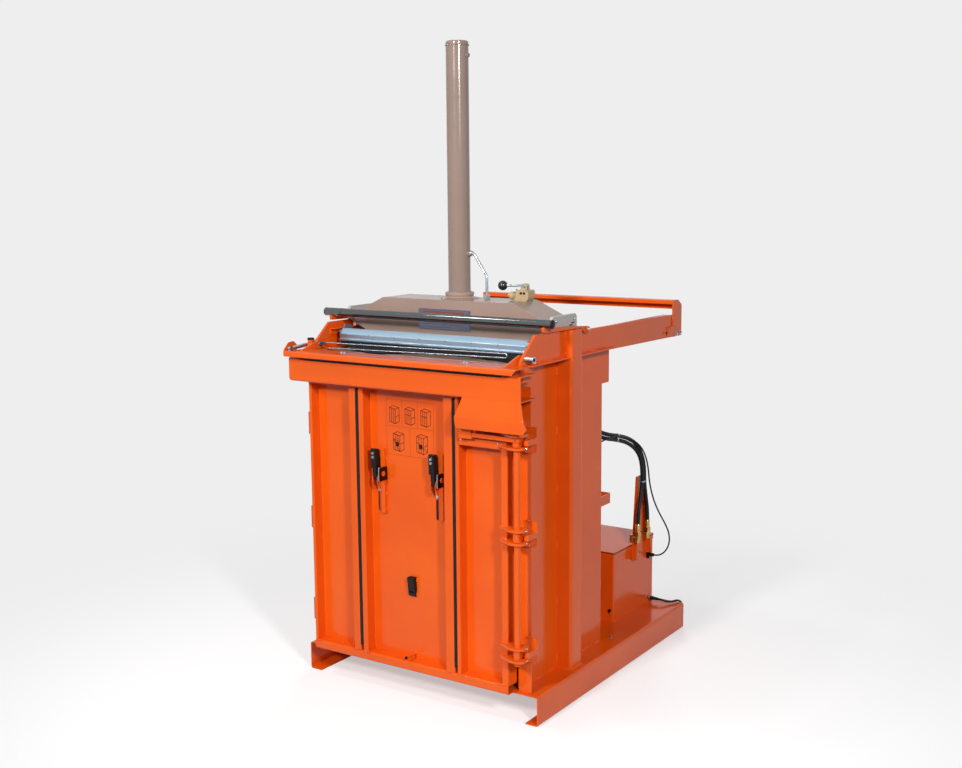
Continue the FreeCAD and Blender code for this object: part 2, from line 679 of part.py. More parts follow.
def make_strap_tensioner(name, x, z):
    """A strap tensioner on the door panel: a cheeked bracket and a lever that swings out."""
    panel = DOOR_PANEL
    cheeks = []
    for side in (-1, 1):
        x0 = x + side * 11 - 2
        cheeks.append(slab("yz", [(panel, z - 44), (panel, z + 26), (panel - 22, z + 12),
                                  (panel - 30, z - 2), (panel - 30, z - 16), (panel - 18, z - 40)],
                           x0, x0 + 4, [0, 0, 8, 6, 6, 6]))
    sole = box(x - 13, x + 13, panel - 3, panel, z - 44, z + 26)
    pivot = V(x - 13, panel - 18, z)
    pin = bar(pivot, V(x + 13, panel - 18, z), 3.5)
    bracket = joined(sole, pin, *cheeks)
    neck = slab("yz", [(panel - 10, z - 8), (panel - 9, z + 44), (panel - 33, z + 44), (panel - 27, z - 8)],
                x - 8, x + 8, [6, 0, 0, 6])
    cover = slab("yz", [(panel - 9, z + 35), (panel - 18, z + 104), (panel - 38, z + 106), (panel - 36, z + 35)],
                 x - 11, x + 11, [2, 3, 4, 2])
    lever = joined(neck, cover)
    hub_hole = bar(V(x - 9, panel - 18, z), V(x + 9, panel - 18, z), 3.5 + RUN_GAP)
    lever = lever.cut(hub_hole)
    parts["tensioner_lever_" + name] = lever
    blade = slab("xz", [(x - 5, z - 44), (x + 5, z - 44), (x + 5, z - 112), (x + 1, z - 126), (x - 5, z - 120)],
                 panel - 3, panel, [0, 0, 4, 2, 2])
    guide = box(x + 13 + SEAT_GAP, x + 31, panel - 12, panel, z - 128, z + 106)
    return [joined(bracket, blade), guide]


def make_door_fittings():
    left = make_strap_tensioner("left", -151.0, 784.0)
    right = make_strap_tensioner("right", 100.0, 790.0)
    parts["tensioner_brackets"] = Part.makeCompound(left + right)
    outline = [(DOOR_PANEL, 368), (DOOR_PANEL, 440), (DOOR_PANEL - 20, 440), (DOOR_PANEL - 12, 372)]
    holder = slab("yz", outline, -24, 4, [0, 0, 4, 4])
    parts["knife_holder"] = holder.cut(box(-19, -1, DOOR_PANEL - 14, DOOR_PANEL - 5, 384, 441))


# ---------------------------------------------------------------- loading flap
def make_flap():
    route = [(FLAP_FRONT, FLAP_LIP_LOW), (FLAP_FRONT, FLAP_LIP_TOP), (FLAP_BACK, FLAP_LIP_TOP)]
    sheet = folded("yz", route, -THIN_SHEET, -FLAP_HALF, FLAP_HALF, 3.0)
    notch = GAS_X + GAS_TUBE + 3
    outline = [
        (-FLAP_HALF, FLAP_FRONT),
        (FLAP_HALF, FLAP_FRONT),
        (FLAP_HALF, FLAP_BACK),
        (notch, FLAP_BACK),
        (notch, FLAP_FRONT + 9),
        (-FLAP_HALF, FLAP_FRONT + 9),
    ]
    sheet = sheet.common(slab("xy", outline, FLAP_LIP_LOW - 1, FLAP_LIP_TOP + 1, [2, 2, 6, 8, 3, 0]))
    under = FLAP_LIP_TOP - THIN_SHEET
    outline = [
        (-FLAP_HALF, FLAP_LIP_LOW),
        (FLAP_HALF - FLAP_CHAMFER, FLAP_LIP_LOW),
        (FLAP_HALF, under),
        (FLAP_HALF, FLAP_LIP_TOP + 1),
        (-FLAP_HALF, FLAP_LIP_TOP + 1),
    ]
    sheet = sheet.common(slab("xz", outline, FLAP_FRONT - 1, FLAP_BACK + 1, [7, 5, 1, 0, 0]))
    ends = []
    for side in (-1, 1):
        x0 = side * (FLAP_INNER_HALF - 4) - 4
        end = slab("yz", [(FLAP_FRONT + 27, under), (-6, FLAP_AXIS_Z - 16), (16, FLAP_AXIS_Z - 12),
                          (14, FLAP_AXIS_Z + 12), (-10, FLAP_AXIS_Z + 15), (FLAP_FRONT + 27, FLAP_LIP_TOP + 1)],
                   x0, x0 + 8, [0, 12, 12, 10, 14, 0])
        hole = bar(V(x0 - 1, 0, FLAP_AXIS_Z), V(x0 + 9, 0, FLAP_AXIS_Z), PIVOT_RADIUS + RUN_GAP)
        ends.append(end.cut(hole))
    eye_y, eye_z = GAS_EYE
    ear = slab("yz", [(FLAP_FRONT + 3, under), (eye_y + 48, under), (eye_y + 48, eye_z + 9), (eye_y + 30, eye_z + 24),
                      (eye_y + 4, eye_z + 21), (FLAP_FRONT + 3, eye_z - 3)],
               -FLAP_HALF, -FLAP_HALF + 4, [0, 4, 10, 12, 14, 8])
    keep_out = [bar(V(side * 420, 0, FLAP_AXIS_Z), V(side * 440, 0, FLAP_AXIS_Z), PIVOT_RADIUS + RUN_GAP)
                for side in (-1, 1)]
    stud = bar(V(-FLAP_HALF + 3, eye_y, eye_z), V(GAS_X - GAS_KNUCKLE - SEAT_GAP, eye_y, eye_z), 4.0)
    parts["loading_flap"] = joined(sheet, *ends, ear, stud).cut(keep_out)
    tubes = []
    for side in (-1, 1):
        start = V(side * (FLAP_INNER_HALF - 10), 0, FLAP_AXIS_Z)
        end = V(side * PIVOT_OUT[side > 0], 0, FLAP_AXIS_Z)
        tube = bar(start, end, PIVOT_RADIUS).cut(bar(start, end, PIVOT_BORE))
        tubes.append(tube)
    parts["flap_pivots"] = Part.makeCompound(tubes)


def make_gas_spring():
    anchor = V(GAS_X, *GAS_ANCHOR)
    eye = V(GAS_X, *GAS_EYE)
    along = (eye - anchor).normalize()
    length = (eye - anchor).Length
    front = anchor + along * (length - 10)
    tube_start = anchor + along * (length * 0.42)
    tube = bar(tube_start, front, GAS_TUBE)
    bore_end = anchor + along * (length - 24)
    tube = tube.cut(bar(tube_start, bore_end, GAS_ROD + RUN_GAP))
    knuckle = bar(eye - V(GAS_KNUCKLE, 0, 0), eye + V(GAS_KNUCKLE, 0, 0), 8.0)
    neck = bar(front, eye, 4.5)
    parts["gas_spring_tube"] = joined(tube, neck, knuckle)
    rod_end = anchor + along * (length * 0.42 + 60)
    ring = bar(anchor - V(GAS_TUBE, 0, 0), anchor + V(GAS_TUBE, 0, 0), 8.0)
    rod = joined(ring, bar(anchor, rod_end, GAS_ROD))
    parts["gas_spring_rod"] = rod.cut(bar(anchor - V(10, 0, 0), anchor + V(10, 0, 0), 4.0 + RUN_GAP))


def make_strap_needle():
    """A wire hairpin held in the left side plate, ready to push straps through."""
    inner = -PLATE_OUT + PLATE_THICK
    tip = 335.0
    start = inner + 1.0
    points = [V(start, 22, 1240), V(tip, 62, 1243), V(tip, 62, 1229), V(start, 14, 1222)]
    wire = Part.Wire(path_edges(points, [0, 6.5, 6.5, 0], False))
    ring = Part.Wire(Part.makeCircle(2.2, points[0], points[1] - points[0]))
    parts["strap_needle"] = wire.makePipeShell([ring], True, True)


# ---------------------------------------------------------------- head
def head_outline(inset):
    slope = (HEAD_TOP - HEAD_TIP_TOP) / (HEAD_TIP - HEAD_TOP_HALF)
    chamfer = (HEAD_TIP_LOW - HEAD_LOW) / (HEAD_TIP - 10 - HEAD_LOW_HALF)
    half = [
        (HEAD_TOP_HALF - inset * slope / 2, HEAD_TOP - inset),
        (HEAD_TIP - inset, HEAD_TIP_TOP - inset * (1 - slope / 2)),
        (HEAD_TIP - inset, HEAD_TIP_LOW + inset * (1 - chamfer)),
        (HEAD_TIP - 10 - inset, HEAD_TIP_LOW + inset * (1 - chamfer / 2)),
        (HEAD_LOW_HALF - inset * chamfer / 2, HEAD_LOW + inset),
    ]
    return half + [(-x, z) for x, z in half[::-1]]


def make_head():
    radii = [14, 6, 0, 4, 8, 8, 4, 0, 6, 14]
    beam = slab("xz", head_outline(0.0), HEAD_FRONT, HEAD_REAR, radii)
    hollow = slab("xz", head_outline(HEAD_SHEET), HEAD_FRONT + HEAD_SHEET, HEAD_REAR - HEAD_SHEET)
    rod_hole = bar(V(0, CYLINDER_Y, HEAD_LOW - 1), V(0, CYLINDER_Y, HEAD_TOP + 1), ROD + RUN_GAP)
    parts["head_beam"] = beam.cut([hollow, rod_hole])
    ends = []
    for side in (-1, 1):
        x0 = min(side * HEAD_TIP, side * (HEAD_TIP + 11))
        low = PLATE_TOP + SEAT_GAP
        high = HEAD_TIP_TOP + 30
        front = HEAD_FRONT - 9
        back = HEAD_REAR - 5
        outline = [
            (front, low),
            (back, low),
            (back, high - 10),
            (back - 8, high),
            (front + 8, high),
            (front, high - 10),
        ]
        end = slab("yz", outline, x0, x0 + 11, [0, 0, 3, 3, 3, 3])
        ends.append(end)
    parts["head_end_plates"] = Part.makeCompound(ends)
    pads = []
    for side in (-1, 1):
        x0 = min(side * (HEAD_TIP - 14), side * HEAD_TIP)
        pads.append(box(x0, x0 + 14, HEAD_FRONT + 8, HEAD_REAR - 8, RAIL_TOP + SEAT_GAP, HEAD_TIP_LOW))
    beam_solid = slab("xz", head_outline(0.0), HEAD_FRONT, HEAD_REAR, radii)
    parts["head_slide_pads"] = Part.makeCompound([pad.cut(beam_solid) for pad in pads])


def make_cylinder():
    top = HEAD_TOP
    bore = ROD + RUN_GAP
    waist = COLLAR - 3
    profile = [
        (bore, top),
        (FLARE, top),
        (FLARE, top + 2),
        (FLARE - 8, top + 4),
        (waist + 3, top + 7.5),
        (waist, top + 11),
        (COLLAR - 1, top + 11.5),
        (COLLAR, top + 13.5),
        (COLLAR, BARREL_LOW - 3),
        (COLLAR - 1, BARREL_LOW - 1),
        (waist, BARREL_LOW),
        (bore, BARREL_LOW),
    ]
    parts["cylinder_base"] = turned(profile, 0, CYLINDER_Y)
    inner = BARREL - BARREL_WALL
    lid = 14.0
    profile = [
        (inner, BARREL_LOW),
        (BARREL, BARREL_LOW),
        (BARREL, BARREL_TOP - 4),
        (BARREL - 4, BARREL_TOP),
        (0, BARREL_TOP),
        (0, BARREL_TOP - lid),
        (inner, BARREL_TOP - lid),
    ]
    barrel = turned(profile, 0, CYLINDER_Y)
    bleed = BARREL_TOP - BLEED_DROP
    plug = bar(V(BARREL - 2, CYLINDER_Y, bleed), V(BARREL + 9, CYLINDER_Y, bleed), 7.0)
    boss = bar(V(BARREL - 2, CYLINDER_Y, PIPE_PORT), V(BARREL + 8, CYLINDER_Y, PIPE_PORT), 11.0)
    core = bar(V(0, CYLINDER_Y, BARREL_LOW), V(0, CYLINDER_Y, BARREL_TOP - lid), inner)
    parts["cylinder_barrel"] = joined(barrel, plug.cut(core), boss.cut(core))
    piston_top = BARREL_TOP - lid - 6
    profile = [
        (0, PLATEN_LOW + PLATEN_THICK),
        (ROD, PLATEN_LOW + PLATEN_THICK),
        (ROD, piston_top - 40),
        (inner - RUN_GAP, piston_top - 40),
        (inner - RUN_GAP, piston_top),
        (0, piston_top),
    ]
    parts["piston_rod"] = turned(profile, 0, CYLINDER_Y)
    route = [V(BARREL + 8, CYLINDER_Y, PIPE_PORT), V(BARREL + 24, CYLINDER_Y, PIPE_PORT),
             V(PIPE_X, CYLINDER_Y, PIPE_PORT - PIPE_BEND), V(PIPE_X, CYLINDER_Y, HEAD_TOP)]
    wire = Part.Wire(path_edges(route, [0, 16, 30, 0], False))
    ring = Part.Wire(Part.makeCircle(PIPE, route[0], V(1, 0, 0)))
    pipe = wire.makePipeShell([ring], True, True)
    nuts = [hexagon(PIPE_X, CYLINDER_Y, 22, HEAD_TOP, HEAD_TOP + 16)]
    nuts.append(bar(route[0], route[0] + V(9, 0, 0), 9.5))
    parts["head_pipe"] = joined(pipe, *nuts)


def make_platen():
    """A pressing plate with a welded grid of ribs on its back."""
    top = PLATEN_LOW + PLATEN_THICK
    face = slab("xy", [(-PLATEN_HALF, PLATEN_FRONT), (PLATEN_HALF, PLATEN_FRONT),
                       (PLATEN_HALF, PLATEN_REAR), (-PLATEN_HALF, PLATEN_REAR)],
                PLATEN_LOW, PLATEN_LOW + PLATEN_PLATE, 6.0)
    front = PLATEN_FRONT + PLATEN_LIP
    rear = PLATEN_REAR - 20
    half = PLATEN_HALF - 18
    frame = box(-half, half, front, rear, PLATEN_LOW, top)
    cells = []
    for x0, x1 in ((-half + 8, -58), (58, half - 8)):
        for y0, y1 in ((front + 8, CYLINDER_Y - 58), (CYLINDER_Y + 58, rear - 8)):
            cells.append(box(x0, x1, y0, y1, PLATEN_LOW, top + 1))
    parts["platen"] = joined(face, frame.cut(cells))


def make_valve():
    top = HEAD_TOP
    foot = box(VALVE_X - 33, VALVE_X - 7, VALVE_Y - 20, VALVE_Y + 20, top, top + 10)
    y0 = VALVE_Y - 22
    y1 = VALVE_Y + 22
    block = slab("xz", [(VALVE_X - 25, top), (VALVE_X + 20, top), (VALVE_X + 27, top + 12),
                        (VALVE_X + 27, top + 38), (VALVE_X - 25, top + 38)], y0, y1, [0, 0, 3, 6, 6])
    slope_cut = slab("xz", head_outline(0.0), HEAD_FRONT, HEAD_REAR, [14, 6, 0, 4, 8, 8, 4, 0, 6, 14])
    port = joined(
        bar(V(VALVE_X - 25, VALVE_Y, top + 16), V(VALVE_X - 42, VALVE_Y, top + 16), 11.0),
        bar(V(VALVE_X - 42, VALVE_Y, top + 16), V(VALVE_X - 56, VALVE_Y, top + 16), 14.0),
        bar(V(VALVE_X - 56, VALVE_Y, top + 16), V(VALVE_X - 66, VALVE_Y, top + 16), 8.0),
    )
    clevis = []
    for side in (-1, 1):
        y = VALVE_Y + side * 8
        clevis.append(slab("xz", [(VALVE_X - 12, top + 37), (VALVE_X + 14, top + 37),
                                  (VALVE_X + 12, top + 60), (VALVE_X - 8, top + 60)],
                           y - 2.5, y + 2.5, [0, 0, 8, 8]))
    axis_z = top + 51
    pin = bar(V(VALVE_X + 2, VALVE_Y - 11, axis_z), V(VALVE_X + 2, VALVE_Y + 11, axis_z), 3.0)
    parts["valve_block"] = joined(block, foot, port, pin, *clevis).cut(slope_cut)
    blade = slab("xz", [(VALVE_X + 10, axis_z - 6), (VALVE_X + 10, axis_z + 6), (VALVE_X - 30, axis_z + 5),
                        (VALVE_X - 30, axis_z - 3)], VALVE_Y - 4, VALVE_Y + 4, [5, 5, 2, 2])
    stem_start = V(VALVE_X - 20, VALVE_Y, axis_z)
    stem = bar(stem_start, V(KNOB_X + 10, VALVE_Y, KNOB_Z), 4.0)
    lever = joined(blade, stem)
    hole = bar(V(VALVE_X + 2, VALVE_Y - 12, axis_z), V(VALVE_X + 2, VALVE_Y + 12, axis_z), 3.0 + RUN_GAP)
    parts["valve_knob"] = Part.makeSphere(KNOB, V(KNOB_X, VALVE_Y, KNOB_Z))
    seat = Part.makeSphere(KNOB + RUN_GAP, V(KNOB_X, VALVE_Y, KNOB_Z))
    parts["valve_lever"] = lever.cut([hole, seat])


def make_guard():
    """A folded guard on gussets in front of the head beam, with two end plates and a rubber curtain."""
    thick = 2.5
    front = GUARD_FRONT
    top = GUARD_TOP
    low = top - GUARD_TALL
    seam = low + 13
    bead = front - GUARD_BEAD
    peak = top + GUARD_SLOPE
    route = [
        (front + GUARD_SLOPE, peak),
        (front, top),
        (front, seam),
        (bead, seam - 3),
        (bead, low + 3),
        (front, low),
    ]
    sheet = folded("yz", route, thick, -GUARD_HALF, GUARD_HALF, 1.0)
    gussets = []
    outline = [
        (front + thick, seam),
        (HEAD_FRONT, HEAD_LOW),
        (HEAD_FRONT, HEAD_LOW + 5),
        (front + GUARD_SLOPE, peak - 3),
        (front + thick, top),
    ]
    for x in (-330.0, -130.0, 130.0, 330.0):
        gussets.append(slab("yz", outline, x - 2, x + 2))
    outline = [
        (front, low - 14),
        (front, peak - 6),
        (front + 22, peak - 4),
        (front + 28, peak + 13),
        (front + 65, peak + 10),
        (front + 72, peak - 10),
        (HEAD_FRONT, HEAD_LOW + 4),
        (HEAD_FRONT, HEAD_LOW - 8),
        (front + 10, low - 14),
    ]
    ends = []
    for side in (-1, 1):
        x0 = min(side * (GUARD_HALF - thick), side * GUARD_HALF)
        ends.append(slab("yz", outline, x0, x0 + thick, [3, 3, 4, 6, 6, 4, 0, 0, 6]))
    parts["front_guard"] = joined(sheet, *gussets, *ends)
    back = front + thick
    foot = PLATEN_LOW + PLATEN_PLATE + SEAT_GAP
    half = GUARD_HALF - thick - SEAT_GAP
    outline = [
        (-half + 40, seam - 2),
        (-half + 44, low - 4),
        (-half + 90, foot),
        (half - 30, foot),
        (half, low - 12),
        (half, seam - 2),
    ]
    parts["guard_rubber"] = slab("xz", outline, back, back + 4, [0, 20, 60, 20, 10, 0])


def make_handle():
    """The hand tube, lying in the saddles of two flat arms that pass over the columns."""
    low = V(-HANDLE_HALF, HANDLE_Y, HANDLE_Z)
    high = V(HANDLE_HALF, HANDLE_Y, HANDLE_Z)
    parts["handle_bar"] = bar(low, high, HANDLE)
    pin_y, pin_z = HANDLE_PIVOT
    under = HANDLE_Z - HANDLE
    over = COLUMN_TOP + 2
    outline = [
        (HANDLE_Y - 12, under - HANDLE_ARM_TALL + 2),
        (COLUMN_FRONT, over),
        (COLUMN_REAR + 8, over),
        (pin_y - 14, pin_z - 12),
        (pin_y + 14, pin_z - 12),
        (pin_y + 14, pin_z + 10),
        (COLUMN_FRONT, over + HANDLE_ARM_TALL - 4),
        (HANDLE_Y + 30, under),
        (HANDLE_Y + 17, HANDLE_Z - 4),
        (HANDLE_Y + 8, HANDLE_Z - 4),
        (HANDLE_Y - 14, under + 3),
    ]
    radii = [6, 0, 6, 10, 10, 10, 20, 12, 3, 0, 2]
    bed = bar(low, high, HANDLE + RUN_GAP)
    arms = []
    for side in (-1, 1):
        near = side * HANDLE_ARM_X
        far = side * (HANDLE_ARM_X + HANDLE_ARM)
        arm = slab("yz", outline, min(near, far), max(near, far), radii)
        hole = bar(V(near - side, pin_y, pin_z), V(far + side, pin_y, pin_z), 6.0 + RUN_GAP)
        arms.append(arm.cut([bed, hole]))
    parts["handle_arms"] = Part.makeCompound(arms)


# ---------------------------------------------------------------- power unit and lines
def make_power_unit():
    body = box(BOX_LEFT, BOX_RIGHT, BOX_FRONT, BOX_REAR, BASE_HEIGHT, BOX_TOP - LID_LIP)
    corners = [edge for edge in body.Edges if abs(edge.Vertexes[0].Z - edge.Vertexes[1].Z) > 50]
    body = body.makeFillet(6.0, corners)
    inner = box(BOX_LEFT + 4, BOX_RIGHT - 4, BOX_FRONT + 4, BOX_REAR - 4, BASE_HEIGHT, BOX_TOP - LID_LIP + 1)
    parts["power_unit_box"] = body.cut(inner)
    lid = box(BOX_LEFT - 2, BOX_RIGHT + 2, BOX_FRONT - 2, BOX_REAR + 2, BOX_TOP - LID_LIP, BOX_TOP)
    corners = [edge for edge in lid.Edges if abs(edge.Vertexes[0].Z - edge.Vertexes[1].Z) > 5]
    lid = lid.makeFillet(6.0, corners)
    under = box(BOX_LEFT + 4, BOX_RIGHT - 4, BOX_FRONT + 4, BOX_REAR - 4, BOX_TOP - LID_LIP - 1, BOX_TOP - 3)
    parts["power_unit_lid"] = lid.cut(under)


def make_mast():
    face = BOX_RIGHT + 2
    outer = slab("yz", [(916, MAST_LOW), (1055, MAST_LOW), (1003, MAST_TOP), (950, MAST_TOP)],
                 face, 395, [3, 3, 3, 3])
    inner = slab("yz", [(921, MAST_LOW - 1), (1050, MAST_LOW - 1), (998, MAST_TOP + 1), (955, MAST_TOP + 1)],
                 face + THIN_SHEET, 400)
    taper = slab("xz", [(395, MAST_LOW + 20), (401, MAST_LOW + 20), (401, MAST_TOP + 1), (381, MAST_TOP + 1)],
                 900, 1070)
    parts["hose_mast"] = outer.cut([inner, taper])
    fittings = []
    for y in FITTING_YS:
        z = 414.0
        start = face if y < 930 else face + THIN_SHEET
        upright = bar(V(HOSE_X, y, z - 14), V(HOSE_X, y, z + 40), 9.5)
        inlet = bar(V(start, y, z), V(HOSE_X, y, z), 9.5)
        nut = hexagon(HOSE_X, y, 25, z + 12, z + 30)
        fittings.append(joined(upright, inlet, nut))
    block = box(BOX_RIGHT + 2, BOX_RIGHT + 12, 903, 923, 398, 430)
    fittings[0] = joined(fittings[0], block)
    parts["hose_fittings"] = Part.makeCompound(fittings)


def make_hoses():
    """Two hydraulic hoses from the power unit, up the mast, over and up behind the rear wall to the head."""
    start = 454.0
    shared = [
        (384, 925, 785),
        (368, 880, 815),
        (354, 820, 833),
        (346, 750, 848),
        (330, 712, 864),
    ]
    climb = [
        (297, 680, 898),
        (245, 668, 955),
        (195, 664, 1010),
        (158, 662, 1075),
        (135, 662, 1150),
        (122, 656, 1225),
        (112, 628, 1290),
        (106, 570, 1326),
        (104, 490, 1338),
        (104, HEAD_REAR, 1338),
    ]
    tubes = []
    for y0, side in zip(FITTING_YS, (-1, 1)):
        dy = 9.0 * side
        rise = [
            (HOSE_X, y0, start),
            (HOSE_X, y0, 510),
            (HOSE_X, y0 + (957 + dy - y0) * 0.55, 575),
            (HOSE_X, 957 + dy, 635),
            (HOSE_X, 956 + dy, 690),
            (396, 949 + dy, 740),
        ]
        if side > 0:
            middle = [(x + 1, y + 6, z + 7) for x, y, z in shared]
            upper = [(x + min(9, 3 + 3 * k), y, z + 9 * max(0.0, 1 - k / 3)) for k, (x, y, z) in enumerate(climb)]
        else:
            middle = [(x - 1, y - 6, z - 7) for x, y, z in shared]
            upper = [(x - min(9, 3 + 3 * k), y, z - 9 * max(0.0, 1 - k / 3)) for k, (x, y, z) in enumerate(climb)]
        tubes.append(hose("hydraulic hose", rise + middle + upper, HOSE))
    parts["hydraulic_hoses"] = Part.makeCompound(tubes)


def make_signal_line():
    """A thin cable from the connector on the power unit, beside the hoses, to a switch on the rear wall."""
    plug_x = BOX_RIGHT
    plug = joined(
        box(plug_x, plug_x + 14, 1056.5, 1078, 297, 325),
        bar(V(plug_x + 14, 1064, 311), V(plug_x + 30, 1064, 311), 7.0),
    )
    switch = box(318, 358, WALL_DEPTH, WALL_DEPTH + 34, 792, 856)
    nose = bar(V(338, WALL_DEPTH + 34, 824), V(338, WALL_DEPTH + 46, 824), 7.0)
    parts["signal_fittings"] = Part.makeCompound([plug, joined(switch, nose)])
    points = [
        (plug_x + 30, 1064, 311),
        (plug_x + 52, 1064, 311),
        (447, 1073, 330),
        (462, 1078, 366),
        (462, 1073, 410),
        (452, 1055, 452),
        (440, 1030, 495),
        (430, 1007, 540),
        (422, 990, 588),
        (417, 978, 640),
        (416, 970, 692),
        (410, 958, 744),
        (398, 934, 788),
        (380, 885, 822),
        (368, 824, 840),
        (360, 762, 846),
        (348, 708, 838),
        (338, 664, 824),
        (338, WALL_DEPTH + 46, 824),
    ]
    parts["signal_cable"] = hose("signal cable", points, SIGNAL)


def make_mains_lead():
    """The mains lead: gland, free run over the back of the base, a put-away coil and its plug."""
    gland = joined(
        bar(V(BOX_RIGHT, 1078, 124), V(BOX_RIGHT + 12, 1078, 124), 11.0),
        Part.makeCone(9.0, 5.5, 24, V(BOX_RIGHT + 12, 1078, 124), V(1, 0, 0)),
    )
    parts["cable_gland"] = gland
    floor = MAINS + 0.2
    points = [
        (BOX_RIGHT + 36, 1078, 124),
        (BOX_RIGHT + 60, 1078, 124),
        (449, 1088, 116),
        (464, 1110, 113),
        (476, 1138, 114),
        (481, BASE_REAR + 24, 97),
        (476, BASE_REAR + 38, 62),
        (460, BASE_REAR + 47, 27),
        (426, BASE_REAR + 54, floor + 4),
        (380, BASE_REAR + 58, floor),
        (COIL_START, BASE_REAR + 58, floor),
    ]
    parts["mains_lead"] = hose("mains lead", points, MAINS)
    make_mains_coil(V(COIL_START, BASE_REAR + 58, floor))


def make_mains_coil(start):
    """Two flat layers of loops, wound outwards below and back inwards above."""
    pitch = 2 * MAINS + 0.6
    turns = 5
    inner = 34.0
    points = []
    centre = V(start.x, start.y + inner + pitch * turns, 0)
    quarter = 4 * turns
    for k in range(quarter + 1):
        angle = -math.pi / 2 - k * math.pi / 2
        radius = inner + pitch * (turns - k / 4)
        points.append(V(centre.x + radius * math.cos(angle), centre.y + radius * math.sin(angle), start.z))
    angle = -math.pi / 2 - (quarter + 1) * math.pi / 2
    climb = inner - 1.8
    points.append(V(centre.x + climb * math.cos(angle), centre.y + climb * math.sin(angle),
                    start.z + pitch / 2))
    for k in range(quarter + 1):
        angle = -math.pi / 2 - (quarter + 2 + k) * math.pi / 2
        radius = inner + pitch * (k / 4)
        points.append(V(centre.x + radius * math.cos(angle), centre.y + radius * math.sin(angle),
                        start.z + pitch))
    edges = wound_edges(points, centre)
    outward = (points[-1] - V(centre.x, centre.y, points[-1].z)).normalize()
    heading = V(outward.y, -outward.x, 0)
    tail = points[-1] + heading * 58 + outward * 30
    tail.z = PLUG + 0.3
    edges += biarc(points[-1], heading, tail, (heading + outward * 0.6).normalize())
    wire = Part.Wire(edges)
    ring = Part.Wire(Part.makeCircle(MAINS, start, V(-1, 0, 0)))
    coil = wire.makePipeShell([ring], True, True)
    print(f"mains coil: length {wire.Length:.0f}, volume share"
          f" {coil.Volume / (math.pi * MAINS ** 2 * wire.Length):.3f}")
    print(f"mains coil: least gap to itself {self_gap(wire):.2f}")
    parts["mains_coil"] = coil
    make_plug(tail, (heading + outward * 0.6).normalize())


def make_plug(end, heading):
    """The mains plug, lying on its side with its sleeve on the cable's end."""
    side = V(-heading.y, heading.x, 0)
    sleeve = Part.makeCone(MAINS + 1, MAINS + 3, 16, end, heading)
    shell_start = end + heading * 16
    shell = bar(shell_start, shell_start + heading * 36, PLUG)
    face = shell_start + heading * 36
    pins = [bar(face + side * s, face + side * s + heading * 19, 2.4) for s in (-9.5, 9.5)]
    parts["mains_plug"] = joined(sleeve, shell, *pins)


def wound_edges(points, centre):
    """Each quarter turn as two tangent arcs, in headings square to the radius."""
    edges = []
    for a, b in zip(points, points[1:]):
        ta = V(a.y - centre.y, centre.x - a.x, 0).normalize()
        tb = V(b.y - centre.y, centre.x - b.x, 0).normalize()
        edges += biarc(a, ta, b, tb)
    return edges


def biarc(a, ta, b, tb):
    """Two arcs of equal tangent length that leave a along ta and reach b along tb."""
    d = b - a
    t = ta + tb
    quad = 2 * (1 - ta.dot(tb))
    lin = 2 * d.dot(t)
    const = -d.dot(d)
    if quad < 1e-9:
        reach = -const / lin
    else:
        reach = (-lin + math.sqrt(lin * lin - 4 * quad * const)) / (2 * quad)
    p = a + ta * reach
    q = b - tb * reach
    middle = (p + q) * 0.5
    return [tangent_arc(a, ta, middle), tangent_arc(middle, (q - p).normalize(), b)]


def tangent_arc(a, ta, b):
    chord = b - a
    normal = chord - ta * chord.dot(ta)
    if normal.Length < 1e-6:
        return Part.LineSegment(a, b).toShape()
    normal.normalize()
    radius = chord.dot(chord) / (2 * chord.dot(normal))
    hub = a + normal * radius
    half = (a - hub) + (b - hub)
    return Part.Arc(a, hub + half.normalize() * radius, b).toShape()


def self_gap(wire):
    """The least clear distance between turns, measured on points along the centreline."""
    count = 400
    spots = wire.discretize(count)
    length = wire.Length / (count - 1)
    apart = int(8 * MAINS / length) + 1
    nearest = min(spots[i].distanceToPoint(spots[j])
                  for i in range(count) for j in range(i + apart, count))
    return nearest - 2 * MAINS


def place_and_save():
    """The shift that puts the origin under the middle of the outer box, then one STEP for each node."""
    shift = V(-(HOOD_RIGHT - BASE_HALF) / 2, -(FLAP_FRONT + LOOP_REAR) / 2, 0)
    os.makedirs("parts", exist_ok=True)
    for name, shape in parts.items():
        moved = shape.copy()
        moved.translate(shift)
        if not moved.isValid():
            print(f"{name}: not valid")
        moved.exportStep(f"parts/{name}.step")
    print(f"{len(parts)} nodes, shifted by {shift}")


make_base()
make_walls()
make_columns()
make_side_plates()
make_front_header()
make_closing_plate()
make_rear_loop()
make_reel_bracket()
make_door()
make_hinges()
make_lock()
make_door_fittings()
make_flap()
make_gas_spring()
make_strap_needle()
make_head()
make_cylinder()
make_platen()
make_valve()
make_guard()
make_handle()
make_power_unit()
make_mast()
make_hoses()
make_signal_line()
make_mains_lead()
place_and_save()
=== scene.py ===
import math

import bmesh
import bpy
from mathutils import Matrix, Vector


